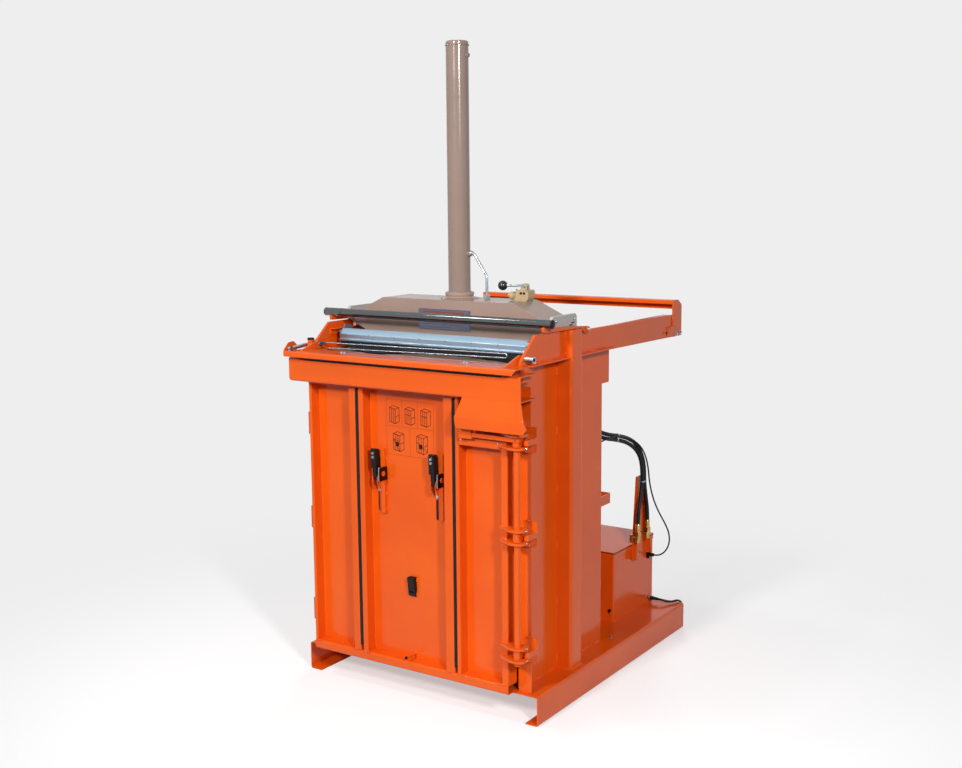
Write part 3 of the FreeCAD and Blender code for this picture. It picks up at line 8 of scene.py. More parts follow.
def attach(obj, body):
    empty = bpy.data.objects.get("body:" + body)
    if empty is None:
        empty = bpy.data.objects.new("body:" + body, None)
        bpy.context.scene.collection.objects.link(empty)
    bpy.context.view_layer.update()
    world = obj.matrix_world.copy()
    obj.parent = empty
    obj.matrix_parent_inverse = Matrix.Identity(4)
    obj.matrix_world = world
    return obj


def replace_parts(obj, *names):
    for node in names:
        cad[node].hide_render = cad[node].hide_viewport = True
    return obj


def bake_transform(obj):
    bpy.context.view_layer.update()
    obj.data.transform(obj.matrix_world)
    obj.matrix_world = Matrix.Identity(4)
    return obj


# A small vertical recycling baler, in metres. The details are drawn from the middle of the
# chamber and the front of the wall flanges, and SHIFT takes them to the part's own frame.
SHIFT = Vector((-0.010, -0.527, 0.0))
RING_SIDES = 24             # sides of a turned or round piece
BACKDROP = "#EEEEEE"

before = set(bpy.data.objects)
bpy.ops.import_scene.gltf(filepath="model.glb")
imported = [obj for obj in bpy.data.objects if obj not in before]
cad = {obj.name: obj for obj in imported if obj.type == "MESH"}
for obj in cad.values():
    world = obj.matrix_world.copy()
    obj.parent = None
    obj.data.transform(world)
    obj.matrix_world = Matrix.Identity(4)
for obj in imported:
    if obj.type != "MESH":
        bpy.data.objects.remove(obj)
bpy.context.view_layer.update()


# ---------------------------------------------------------------- small helpers
def spot(x, y, z):
    """A point of the details' drawing, in the part's own frame."""
    return Vector((x, y, z)) + SHIFT


def linear(code):
    """A colour written as sRGB hex, in linear light."""
    shares = [int(code[i:i + 2], 16) / 255 for i in (1, 3, 5)]
    return [s / 12.92 if s <= 0.04045 else ((s + 0.055) / 1.055) ** 2.4 for s in shares] + [1.0]


def feed(tree, node, inputs):
    """Sets inputs of a node. Each is a plain value or the socket that feeds it."""
    for name, value in inputs.items():
        if isinstance(value, bpy.types.NodeSocket):
            tree.links.new(value, node.inputs[name])
        else:
            node.inputs[name].default_value = value


def add(tree, kind, inputs=None, **settings):
    """A new node with its settings and inputs."""
    node = tree.nodes.new(kind)
    for name, value in settings.items():
        setattr(node, name, value)
    feed(tree, node, inputs or {})
    return node


def placed(name, data):
    """A new object in the scene that shows this data."""
    thing = bpy.data.objects.new(name, data)
    bpy.context.scene.collection.objects.link(thing)
    return thing


def shader(name):
    """A new material: its tree, its shader node and its object coordinates."""
    material = bpy.data.materials.new(name)
    material.use_nodes = True
    tree = material.node_tree
    tree.nodes.clear()
    surface = add(tree, "ShaderNodeBsdfPrincipled")
    add(tree, "ShaderNodeOutputMaterial", {"Surface": surface.outputs["BSDF"]})
    places = add(tree, "ShaderNodeTexCoord").outputs["Object"]
    return material, tree, surface, places


def ramp(tree, factor, stops):
    """A colour ramp between two (place, sRGB hex) stops."""
    node = add(tree, "ShaderNodeValToRGB", {"Fac": factor})
    for stop, (place, code) in zip(node.color_ramp.elements, stops):
        stop.position = place
        stop.color = linear(code)
    return node.outputs["Color"]


def noise(tree, places, scale, detail):
    """A cloudy texture's value."""
    return add(tree, "ShaderNodeTexNoise", {
        "Vector": places, "Scale": scale, "Detail": detail}).outputs["Fac"]


def spread(tree, value, low, high, start=0.3, end=0.7):
    """A texture's value spread from low to high."""
    return add(tree, "ShaderNodeMapRange", {
        "Value": value, "From Min": start, "From Max": end, "To Min": low, "To Max": high}).outputs["Result"]


# ---------------------------------------------------------------- finishes
def enamel(name, shade, deep, pale, rough=0.15, gloss=0.25):
    """Gloss enamel sprayed on steel sheet: a colour that clouds slightly over a panel, a fine
    orange peel of about 4 mm, softened edges, and a painted highlight along them: a paler colour."""
    material, tree, surface, places = shader(name)
    cloud = noise(tree, places, 3.5, 3.0)
    colour = ramp(tree, cloud, [(0.32, deep), (0.68, shade)])
    softened = add(tree, "ShaderNodeBevel", {"Radius": 0.0016}, samples=4).outputs["Normal"]
    flat = add(tree, "ShaderNodeNewGeometry").outputs["Normal"]
    turned = add(tree, "ShaderNodeVectorMath", {0: softened, 1: flat}, operation="DOT_PRODUCT")
    edge = spread(tree, turned.outputs["Value"], 0.0, 0.3, 0.995, 0.90)
    # painted highlight: the paler colour mixed in along the edges
    edge_highlight = add(tree, "ShaderNodeMixRGB", {"Fac": edge, "Color1": colour, "Color2": linear(pale)})
    peel = noise(tree, places, 260.0, 1.0)
    bump = add(tree, "ShaderNodeBump", {
        "Strength": 0.05, "Distance": 0.0004, "Height": peel, "Normal": softened})
    wear = noise(tree, places, 14.0, 5.0)
    feed(tree, surface, {
        "Base Color": edge_highlight.outputs["Color"], "Roughness": spread(tree, wear, rough - 0.03, rough + 0.09),
        "Normal": bump.outputs["Normal"], "IOR": 1.52, "Specular IOR Level": gloss})
    return material


def plated(name, shade, deep, rough, grain=0.0):
    """Plated or bare steel: metallic, with the plating's cloudiness in colour and in gloss, and
    a rolled grain along x where it is sheet."""
    material, tree, surface, places = shader(name)
    stretch = (6.0 if grain else 60.0, 60.0, 60.0)
    stretched = add(tree, "ShaderNodeMapping", {"Vector": places, "Scale": stretch})
    cloud = noise(tree, stretched.outputs["Vector"], 1.0, 4.0)
    feed(tree, surface, {
        "Base Color": ramp(tree, cloud, [(0.3, deep), (0.7, shade)]), "Metallic": 1.0,
        "Roughness": spread(tree, cloud, rough + 0.08, rough - 0.05)})
    if grain:
        fine = add(tree, "ShaderNodeMapping", {"Vector": places, "Scale": (12.0, 900.0, 900.0)})
        lines = noise(tree, fine.outputs["Vector"], 1.0, 2.0)
        bump = add(tree, "ShaderNodeBump", {"Strength": grain, "Distance": 0.0003, "Height": lines})
        feed(tree, surface, {"Normal": bump.outputs["Normal"]})
    return material


def moulded(name, shade, pale, rough, grit=500.0, depth=0.12, ior=1.5, gloss=0.2):
    """Moulded plastic or rubber: a fine grain from the mould and a faint bloom of dust."""
    material, tree, surface, places = shader(name)
    dust = noise(tree, places, 22.0, 4.0)
    grain = noise(tree, places, grit, 2.0)
    bump = add(tree, "ShaderNodeBump", {"Strength": depth, "Distance": 0.0004, "Height": grain})
    feed(tree, surface, {
        "Base Color": ramp(tree, dust, [(0.45, shade), (0.85, pale)]),
        "Roughness": spread(tree, dust, rough - 0.04, rough + 0.08),
        "Normal": bump.outputs["Normal"], "IOR": ior, "Specular IOR Level": gloss})
    return material


# the third colour of each enamel is the paler colour of its painted edge highlight
orange_enamel = enamel("orange_gloss_enamel_on_steel", "#E25B10", "#DA530D", "#EA6A28")
taupe_enamel = enamel("taupe_gloss_enamel_on_steel", "#9F877B", "#977F73", "#B5A093", 0.2, 0.3)
# the beam's taupe made darker: painted shade, as the barrel stands higher and gets less light
taupe_enamel_painted_shade = enamel("taupe_gloss_enamel_with_painted_shade", "#907B71", "#897469", "#A89488", 0.12, 0.4)
grey_enamel = enamel("pale_grey_enamel_on_steel", "#B9B7B2", "#ABA9A4", "#D2D0CC", 0.3)
cast_cream = enamel("cream_enamel_on_cast_iron", "#BFA985", "#A58F6D", "#D8C6A4", 0.38)
zinc_sheet = plated("zinc_plated_steel_sheet", "#A9C0D1", "#8FA9BD", 0.34, grain=0.12)
zinc_part = plated("bright_zinc_plated_steel", "#C9D0D6", "#98A1AA", 0.24)
# darker than bright chrome: a painted dark reflection of the tube's surroundings
chrome_painted_dark_reflection = plated("chromed_steel_tube_painted_dark_reflection", "#6C7071", "#666A6B", 0.07)
hard_chrome = plated("hard_chromed_rod", "#D5D8DA", "#C4C8CB", 0.08)
dark_chrome = plated("black_chromed_steel", "#3B3E42", "#2C2F33", 0.22)
bright_steel = plated("ground_spring_steel", "#BCC6C8", "#93A0A2", 0.28)
gold_passivate = plated("yellow_passivated_fitting", "#D9B36A", "#9D8455", 0.26)
plate_metal = plated("blue_grey_anodised_aluminium", "#8C8FA3", "#7B7D92", 0.42, grain=0.12)
black_rubber = moulded("black_rubber", "#101113", "#1B1D1F", 0.50)
hose_rubber = moulded("black_hose_cover", "#0F1113", "#1E2123", 0.38, 700.0, 0.2)
black_pvc = moulded("black_pvc_sheath", "#0E0F11", "#191B1D", 0.32, 900.0, 0.05)
black_nylon = moulded("black_moulded_nylon", "#0B0C0E", "#17181A", 0.28, 600.0, 0.10)
phenolic = moulded("black_phenolic_ball", "#08090A", "#101113", 0.07, 300.0, 0.01, 1.6, 0.5)
white_nylon = moulded("natural_nylon", "#DDDCD4", "#CFCDC4", 0.38)
blue_nylon = moulded("pale_blue_nylon_tie", "#8FB4CF", "#A9C6DA", 0.35)
screen_ink = moulded("dark_brown_screen_ink", "#38170F", "#452016", 0.45, 900.0, 0.02)
lilac_film = moulded("pale_lilac_label_film", "#A79AA3", "#9E919A", 0.35, 900.0, 0.02)
plate_print = moulded("red_brown_plate_print", "#7A4A42", "#85554C", 0.40, 900.0, 0.02)
faint_ink = moulded("faint_orange_brown_screen_ink", "#A63A15", "#B0441D", 0.45, 900.0, 0.02)

# export slot and finish of the small pieces
ZINC = ("zinc_steel", zinc_part)
BLACK = ("black_plastic", black_nylon)
RUBBER = ("black_rubber", black_rubber)

FINISH = {
    orange_enamel: [
        "base_skid", "side_wall_left", "side_wall_right", "rear_wall", "rear_header", "columns",
        "side_plate_left", "side_plate_right", "rear_loop", "front_header", "closing_plate",
        "reel_bracket", "lock_keepers", "frame_hinges", "power_unit_box", "power_unit_lid", "hose_mast",
        "door_section_left", "door_section_centre", "door_section_right", "door_top_rail",
        "door_bottom_rail", "door_short_rail", "door_hinges", "lock_ears", "tensioner_brackets",
        "lock_bar", "lock_lever", "loading_flap", "handle_arms"],
    taupe_enamel: ["head_beam", "cylinder_base", "platen"],
    taupe_enamel_painted_shade: ["cylinder_barrel"],
    grey_enamel: ["head_end_plates"],
    cast_cream: ["valve_block"],
    zinc_sheet: ["front_guard"],
    zinc_part: ["flap_pivots", "head_pipe", "gas_spring_tube", "valve_lever", "strap_needle"],
    chrome_painted_dark_reflection: ["handle_bar"],
    hard_chrome: ["gas_spring_rod", "piston_rod"],
    gold_passivate: ["hose_fittings"],
    black_rubber: ["flap_bumper", "guard_rubber", "cable_gland"],
    hose_rubber: ["hydraulic_hoses"],
    black_pvc: ["signal_cable", "mains_lead", "mains_coil"],
    black_nylon: ["signal_fittings", "mains_plug", "knife_holder", "tensioner_lever_left",
                  "tensioner_lever_right"],
    phenolic: ["valve_knob"],
    white_nylon: ["head_slide_pads"],
}
for finish, names in FINISH.items():
    for name in names:
        cad[name].data.materials.clear()
        cad[name].data.materials.append(finish)


# ---------------------------------------------------------------- camera, floor and lights
def make_camera():
    """The photograph's view: from the front right, a little above the guard, slightly rolled."""
    ahead = Vector((-0.5478, 0.8228, -0.1515)).normalized()
    up = Vector((-0.0768, 0.1308, 0.9884))
    right = ahead.cross(up).normalized()
    up = right.cross(ahead)
    camera = placed("camera", bpy.data.cameras.new("camera"))
    turn = Matrix((right, up, -ahead)).transposed()
    camera.matrix_world = Matrix.Translation(spot(2.557, -3.433, 1.777)) @ turn.to_4x4()
    camera.data.sensor_width = 36.0
    camera.data.lens = 46.99
    camera.data.clip_end = 100.0
    bpy.context.scene.camera = camera


def watched(tree, *kinds):
    """1 for a ray of any of these kinds, 0 for the others."""
    path = add(tree, "ShaderNodeLightPath").outputs
    seen = path[kinds[0]]
    for kind in kinds[1:]:
        seen = add(tree, "ShaderNodeMath", {0: seen, 1: path[kind]}, operation="MAXIMUM").outputs["Value"]
    return seen


def make_floor():
    """A pale floor that keeps the machine's shadow and turns into the backdrop further out."""
    mesh = bpy.data.meshes.new("floor")
    half = 40.0
    corners = [(-half, -half, 0), (half, -half, 0), (half, half, 0), (-half, half, 0)]
    mesh.from_pydata(corners, [], [(0, 1, 2, 3)])
    floor = placed("floor", mesh)
    material, tree, surface, places = shader("pale_studio_floor")
    reach = add(tree, "ShaderNodeVectorMath", {0: places}, operation="LENGTH")
    far = add(tree, "ShaderNodeMapRange", {
        "Value": reach.outputs["Value"], "From Min": 1.0, "From Max": 2.6}, interpolation_type="SMOOTHSTEP")
    seen = watched(tree, "Is Camera Ray", "Is Glossy Ray")
    level = add(tree, "ShaderNodeMath", {0: seen, 1: 0.87, 2: 0.13}, operation="MULTIPLY_ADD")
    lit = add(tree, "ShaderNodeEmission", {"Color": linear(BACKDROP), "Strength": level.outputs["Value"]})
    near = add(tree, "ShaderNodeMath", {0: seen, 1: 0.46}, operation="MULTIPLY")
    feed(tree, surface, {
        "Base Color": linear("#C8C8C8"), "Roughness": 0.85, "Specular IOR Level": 0.0,
        "Emission Color": linear("#FFFFFF"), "Emission Strength": near.outputs["Value"]})
    both = add(tree, "ShaderNodeMixShader", {
        0: far.outputs["Result"], 1: surface.outputs["BSDF"], 2: lit.outputs["Emission"]})
    feed(tree, tree.nodes["Material Output"], {"Surface": both.outputs["Shader"]})
    mesh.materials.append(material)


def make_world():
    """Soft even light, and a pale backdrop in what the camera sees and the gloss mirrors."""
    world = bpy.data.worlds.new("studio")
    world.use_nodes = True
    tree = world.node_tree
    tree.nodes.clear()
    seen = watched(tree, "Is Camera Ray", "Is Glossy Ray", "Is Transmission Ray")
    soft = add(tree, "ShaderNodeBackground", {"Color": linear("#EEF3FA"), "Strength": 0.13})
    backdrop = add(tree, "ShaderNodeBackground", {"Color": linear(BACKDROP), "Strength": 1.0})
    both = add(tree, "ShaderNodeMixShader", {
        0: seen, 1: soft.outputs["Background"], 2: backdrop.outputs["Background"]})
    add(tree, "ShaderNodeOutputWorld", {"Surface": both.outputs["Shader"]})
    bpy.context.scene.world = world


def make_lamp(name, at, aim, size, power, mirrored=True):
    """A rectangular soft box. One that isn't mirrored leaves no highlight in the gloss."""
    data = bpy.data.lights.new(name, "AREA")
    data.shape = "RECTANGLE"
    data.size, data.size_y = size
    data.energy = power
    lamp = placed(name, data)
    lamp.location = at
    lamp.visible_glossy = mirrored
    lamp.rotation_euler = (Vector(aim) - Vector(at)).to_track_quat("-Z", "Y").to_euler()


make_camera()
make_floor()
make_world()
make_lamp("front_box", (0.15, -5.3, 3.3), (0, -0.4, 0.9), (0.45, 0.6), 200.0)
make_lamp("right_box", (3.9, -3.2, 3.0), (0, 0, 0.9), (0.45, 0.6), 172.0)
make_lamp("top_box", (-1.5, -2.6, 5.0), (0, 0, 1.0), (0.5, 0.5), 25.0)
make_lamp("top_box_left", (-2.6, -2.4, 5.0), (0, 0, 1.0), (0.5, 0.5), 25.0)
make_lamp("rear_box", (-1.8, 4.6, 3.0), (0, 0, 0.9), (1.4, 1.4), 90.0, mirrored=False)
bpy.context.scene.view_settings.view_transform = "Standard"


# ---------------------------------------------------------------- hoses and cables
def plain_mesh(source):
    """What a curve or its modifiers make, as a plain mesh. The source itself is dropped."""
    bpy.context.view_layer.update()
    graph = bpy.context.evaluated_depsgraph_get()
    mesh = bpy.data.meshes.new_from_object(source.evaluated_get(graph))
    bpy.data.objects.remove(source)
    return mesh


def smooth_line(points):
    """The points along the smooth spline that takes these as its control points."""
    curve = bpy.data.curves.new("route", "CURVE")
    curve.dimensions = "3D"
    spline = curve.splines.new("NURBS")
    spline.points.add(len(points) - 1)
    for control, point in zip(spline.points, points):
        control.co = (*point, 1.0)
    spline.order_u = 3
    spline.use_endpoint_u = True
    curve.resolution_u = 6
    return [vertex.co.copy() for vertex in plain_mesh(placed("route", curve)).vertices]


def shown(name, bm, finish, smooth=30.0):
    """The finished mesh as an object, shaded smooth up to this angle between its faces."""
    mesh = bpy.data.meshes.new(name)
    bm.to_mesh(mesh)
    bm.free()
    mesh.materials.append(finish)
    mesh.shade_smooth()
    mesh.set_sharp_from_angle(angle=math.radians(smooth))
    return placed(name, mesh)


def tube(bm, line, radius, sides):
    """A closed round tube along a line of points."""
    ahead = (line[1] - line[0]).normalized()
    side = ahead.orthogonal().normalized()
    rings = []
    for k, point in enumerate(line):
        new = (line[min(k + 1, len(line) - 1)] - line[max(k - 1, 0)]).normalized()
        side = (ahead.rotation_difference(new) @ side).normalized()
        side = (side - new * side.dot(new)).normalized()
        ahead = new
        across = ahead.cross(side)
        rings.append([bm.verts.new(point + (side * math.cos(a) + across * math.sin(a)) * radius)
                      for a in (2 * math.pi * i / sides for i in range(sides))])
    for one, two in zip(rings, rings[1:]):
        for i in range(sides):
            bm.faces.new((one[i], one[(i + 1) % sides], two[(i + 1) % sides], two[i]))
    bm.faces.new(rings[0][::-1])
    bm.faces.new(rings[-1])


def cord_piece(name, points, radius, finish, sides):
    """A mesh tube along the spline of these control points, and its line."""
    line = smooth_line(points)
    bm = bmesh.new()
    tube(bm, line, radius, sides)
    return shown(name, bm, finish), line


HANDLE_END = 0.4820          # half the hand tube's length
HOSE = 0.0079                # radii of the hoses and the two cables
SIGNAL = 0.003
MAINS = 0.00425
HOSE_X = 0.401               # the hose fittings on the power unit
FITTING_YS = (0.914, 0.998)


def hose_routes():
    """Both hoses: up the mast, over to the left, and up behind the rear wall to the head."""
    shared = [
        (0.384, 0.925, 0.785), (0.368, 0.880, 0.815), (0.354, 0.820, 0.833), (0.346, 0.750, 0.848),
        (0.330, 0.712, 0.864),
    ]
    climb = [
        (0.297, 0.680, 0.898), (0.245, 0.668, 0.955), (0.195, 0.664, 1.010), (0.158, 0.662, 1.075),
        (0.135, 0.662, 1.150), (0.122, 0.656, 1.225), (0.112, 0.628, 1.290), (0.106, 0.570, 1.326),
        (0.104, 0.490, 1.338), (0.104, 0.350, 1.338),
    ]
    routes = []
    for y0, side in zip(FITTING_YS, (-1, 1)):
        dy = 0.009 * side
        rise = [
            (HOSE_X, y0, 0.454),
            (HOSE_X, y0, 0.510),
            (HOSE_X, y0 + (0.957 + dy - y0) * 0.55, 0.575),
            (HOSE_X, 0.957 + dy, 0.635),
            (HOSE_X, 0.956 + dy, 0.690),
            (0.396, 0.949 + dy, 0.740),
        ]
        over = [(x + 0.001 * side, y + 0.006 * side, z + 0.007 * side) for x, y, z in shared]
        up = [(x + side * min(0.009, 0.003 + 0.003 * k), y, z + side * 0.009 * max(0.0, 1 - k / 3))
              for k, (x, y, z) in enumerate(climb)]
        routes.append([spot(*point) for point in rise + over + up])
    return routes


def make_hoses():
    for name, points in zip(("pressure_hose", "return_hose"), hose_routes()):
        hose, line = cord_piece(name, points, HOSE, hose_rubber, 18)
        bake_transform(hose)
        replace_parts(hose, "hydraulic_hoses")


def make_signal_cable():
    points = [
        (0.399, 1.064, 0.311), (0.421, 1.064, 0.311), (0.447, 1.073, 0.330), (0.462, 1.078, 0.366),
        (0.462, 1.073, 0.410), (0.452, 1.055, 0.452), (0.440, 1.030, 0.495), (0.430, 1.007, 0.540),
        (0.422, 0.990, 0.588), (0.417, 0.978, 0.640), (0.416, 0.970, 0.692), (0.410, 0.958, 0.744),
        (0.398, 0.934, 0.788), (0.380, 0.885, 0.822), (0.368, 0.824, 0.840), (0.360, 0.762, 0.846),
        (0.348, 0.708, 0.838), (0.338, 0.664, 0.824), (0.338, 0.630, 0.824),
    ]
    points = [spot(*point) for point in points]
    cable, line = cord_piece("switch_cable", points, SIGNAL, black_pvc, 12)
    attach(cable, "frame")
    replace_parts(cable, "signal_cable")


def mains_points():
    """The free run over the back of the base, then a coil of two layers of five turns."""
    floor = MAINS + 0.0002
    points = [
        (0.405, 1.078, 0.124), (0.429, 1.078, 0.124), (0.449, 1.088, 0.116), (0.464, 1.110, 0.113),
        (0.476, 1.138, 0.114), (0.481, 1.164, 0.097), (0.476, 1.178, 0.062), (0.460, 1.187, 0.027),
        (0.426, 1.194, floor + 0.004),
        (0.380, 1.198, floor),
        (0.230, 1.198, floor),
    ]
    pitch = 2 * MAINS + 0.0006
    turns = 5
    steps = 12
    inner = 0.034
    sag = math.cos(math.pi / steps)
    centre = (0.080, 1.198 + inner + pitch * turns)
    layer = turns * steps
    for k in range(2 * layer + 4):
        angle = -math.pi / 2 - 2 * math.pi * k / steps
        if k <= layer:
            radius = inner + pitch * (turns - k / steps)
            height = floor
        else:
            radius = inner + pitch * max(0.0, k - layer - 3) / steps
            height = floor + pitch * min(1.0, (k - layer) / 3)
        points.append((centre[0] + radius / sag * math.cos(angle), centre[1] + radius / sag * math.sin(angle),
                       height))
    return [spot(*point) for point in points]


def make_mains_cable():
    points = mains_points()
    cable, line = cord_piece("mains_cable", points, MAINS, black_pvc, 12)
    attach(cable, "frame")
    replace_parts(cable, "mains_lead", "mains_coil")


make_hoses()
make_signal_cable()
make_mains_cable()


# ---------------------------------------------------------------- fasteners and welds
TOWARDS = {"+x": (1, 0, 0), "-x": (-1, 0, 0), "+y": (0, 1, 0), "-y": (0, -1, 0), "+z": (0, 0, 1)}


def new_tree(name, inputs):
    """A geometry tree with these named inputs, and its input node."""
    tree = bpy.data.node_groups.new(name, "GeometryNodeTree")
    for label, kind in inputs.items():
        tree.interface.new_socket(label, in_out="INPUT", socket_type=kind)
    tree.interface.new_socket("Made", in_out="OUTPUT", socket_type="NodeSocketGeometry")
    return tree, add(tree, "NodeGroupInput")


def finish_tree(tree, instances, finish):
    """The tree's result: the instances as real geometry, in the finish."""
    real = add(tree, "GeometryNodeRealizeInstances", {"Geometry": instances})
    dressed = add(tree, "GeometryNodeSetMaterial", {"Geometry": real.outputs["Geometry"], "Material": finish})
    add(tree, "NodeGroupOutput", {"Made": dressed.outputs["Geometry"]})


def fastener_tree(name, finish):
    """A head on each point: a washer, a tapered body and a recess, turned to the point's facing."""
    tree, given = new_tree(name, {
        "Places": "NodeSocketGeometry", "Sides": "NodeSocketInt", "Height": "NodeSocketFloat",
        "Crown": "NodeSocketFloat", "Washer": "NodeSocketFloat", "Recess": "NodeSocketFloat"})
    facing = add(tree, "GeometryNodeInputNamedAttribute", {"Name": "facing"}, data_type="FLOAT_VECTOR")
    across = add(tree, "GeometryNodeInputNamedAttribute", {"Name": "across"}, data_type="FLOAT")
    turn = add(tree, "FunctionNodeAlignRotationToVector", {"Vector": facing.outputs["Attribute"]}, axis="Z")
    body = add(tree, "GeometryNodeMeshCone", {
        "Vertices": given.outputs["Sides"], "Radius Bottom": 0.5, "Radius Top": given.outputs["Crown"],
        "Depth": given.outputs["Height"]})
    upright = add(tree, "GeometryNodeInputNormal").outputs["Normal"]
    up = add(tree, "ShaderNodeSeparateXYZ", {"Vector": upright}).outputs["Z"]
    top = add(tree, "FunctionNodeCompare", {"A": up, "B": 0.9}, operation="GREATER_THAN")
    inner = add(tree, "GeometryNodeExtrudeMesh", {
        "Mesh": body.outputs["Mesh"], "Selection": top.outputs["Result"], "Offset Scale": 0.0})
    shrunk = add(tree, "GeometryNodeScaleElements", {
        "Geometry": inner.outputs["Mesh"], "Selection": inner.outputs["Top"], "Scale": 0.55})
    sunk = add(tree, "GeometryNodeExtrudeMesh", {
        "Mesh": shrunk.outputs["Geometry"], "Selection": inner.outputs["Top"],
        "Offset Scale": given.outputs["Recess"]})
    washer = add(tree, "GeometryNodeMeshCylinder", {
        "Vertices": 20, "Radius": given.outputs["Washer"], "Depth": 0.16})
    head = add(tree, "GeometryNodeJoinGeometry", {"Geometry": washer.outputs["Mesh"]})
    feed(tree, head, {"Geometry": sunk.outputs["Mesh"]})
    points = add(tree, "GeometryNodeMeshToPoints", {"Mesh": given.outputs["Places"]})
    copies = add(tree, "GeometryNodeInstanceOnPoints", {
        "Points": points.outputs["Points"], "Instance": head.outputs["Geometry"],
        "Rotation": turn.outputs["Rotation"], "Scale": across.outputs["Attribute"]})
    finish_tree(tree, copies.outputs["Instances"], finish)
    return tree


def weld_tree(finish):
    """A weld bead along each edge of the carrier: overlapping scales of molten metal, under paint."""
    tree, given = new_tree("weld_bead", {
        "Seams": "NodeSocketGeometry", "Width": "NodeSocketFloat", "Pitch": "NodeSocketFloat",
        "Seed": "NodeSocketInt"})
    seam = add(tree, "GeometryNodeMeshToCurve", {"Mesh": given.outputs["Seams"]})
    evenly = add(tree, "GeometryNodeResampleCurve", {
        "Curve": seam.outputs["Curve"], "Length": given.outputs["Pitch"]}, mode="LENGTH")
    points = add(tree, "GeometryNodeCurveToPoints", {"Curve": evenly.outputs["Curve"]}, mode="EVALUATED")
    drop = add(tree, "GeometryNodeMeshUVSphere", {"Segments": 8, "Rings": 5, "Radius": 0.5})
    smooth = add(tree, "GeometryNodeSetShadeSmooth", {"Geometry": drop.outputs["Mesh"]})
    uneven = add(tree, "FunctionNodeRandomValue", {"Seed": given.outputs["Seed"]}, data_type="FLOAT")
    uneven.inputs[2].default_value = 0.85
    uneven.inputs[3].default_value = 1.2
    size = add(tree, "ShaderNodeMath", {0: given.outputs["Width"], 1: uneven.outputs[1]},
               operation="MULTIPLY")
    copies = add(tree, "GeometryNodeInstanceOnPoints", {
        "Points": points.outputs["Points"], "Instance": smooth.outputs["Geometry"],
        "Rotation": points.outputs["Rotation"], "Scale": size.outputs["Value"]})
    finish_tree(tree, copies.outputs["Instances"], finish)
    return tree


def grown(name, body, tree, carrier, values):
    """What the tree makes on the carrier mesh, as a plain mesh that rides on the body."""
    source = placed(name + "_places", carrier)
    modifier = source.modifiers.new("made", "NODES")
    modifier.node_group = tree
    for socket in tree.interface.items_tree:
        if socket.in_out == "INPUT" and socket.name in values:
            modifier[socket.identifier] = values[socket.name]
    piece = placed(name, plain_mesh(source))
    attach(piece, body)


WELD_PITCH = 0.0042          # from one scale of a bead to the next
# sizes as shares of the size across; a recess below zero is sunk
HEADS = {
    "bolt": {"Sides": 6, "Height": 0.50, "Crown": 0.47, "Washer": 0.66, "Recess": -0.05},
    "screw": {"Sides": 18, "Height": 0.42, "Crown": 0.38, "Washer": 0.50, "Recess": -0.22},
    "rivet": {"Sides": 14, "Height": 0.38, "Crown": 0.26, "Washer": 0.50, "Recess": 0.03},
}


def fasteners(name, body, kind, slot, finish, places):
    """Heads of one kind, from (x, y, z, facing, size across) places on one body."""
    carrier = bpy.data.meshes.new(name)
    carrier.from_pydata([spot(x, y, z) for x, y, z, facing, across in places], [], [])
    carrier.attributes.new("facing", "FLOAT_VECTOR", "POINT")
    carrier.attributes.new("across", "FLOAT", "POINT")
    for k, place in enumerate(places):
        carrier.attributes["facing"].data[k].vector = TOWARDS[place[3]]
        carrier.attributes["across"].data[k].value = place[4]
    grown(name, body, fastener_tree(name, finish), carrier, HEADS[kind])


def welds(name, body, seams, width=0.007, finish=orange_enamel):
    """Weld beads along these (start, end) seams on one body."""
    carrier = bpy.data.meshes.new(name)
    ends = [spot(*point) for seam in seams for point in seam]
    carrier.from_pydata(ends, [(k, k + 1) for k in range(0, len(ends), 2)], [])
    grown(name, body, weld_tree(finish), carrier,
          {"Width": width, "Pitch": WELD_PITCH, "Seed": 7})


TENSIONERS = {"left": (-0.151, 0.784), "right": (0.100, 0.790)}     # x and z of the lever pivots


def both_sides(places):
    """The places and their mirror images across the machine's middle."""
    other = {"+x": "-x", "-x": "+x"}
    return places + [(-x, y, z, other.get(facing, facing), across) for x, y, z, facing, across in places]


def both_seams(seams):
    return seams + [tuple((-x, y, z) for x, y, z in seam) for seam in seams]


def stitches(start, end, count, long):
    """Short seams of one length, evenly spaced between two points."""
    start, end = Vector(start), Vector(end)
    along = (end - start).normalized() * long
    first = [start + (end - start - along) * k / (count - 1) for k in range(count)]
    return [(tuple(a), tuple(a + along)) for a in first]


def upright(x, y, low, high):
    """A seam that stands at (x, y)."""
    return (x, y, low), (x, y, high)


def ring_seams(x, y, z, radius, steps):
    """Seams round an upright tube."""
    turns = [2 * math.pi * k / steps for k in range(steps + 1)]
    ring = [(x + radius * math.cos(turn), y + radius * math.sin(turn), z) for turn in turns]
    return list(zip(ring, ring[1:]))


LOCK_ZS = (0.241, 0.640, 0.955)         # low sides of the lock's ears
HINGE_ZS = (0.250, 0.600, 0.950)        # middles of the door's hinges
DOOR_RIBS = -0.0612                     # front of the door's ribs


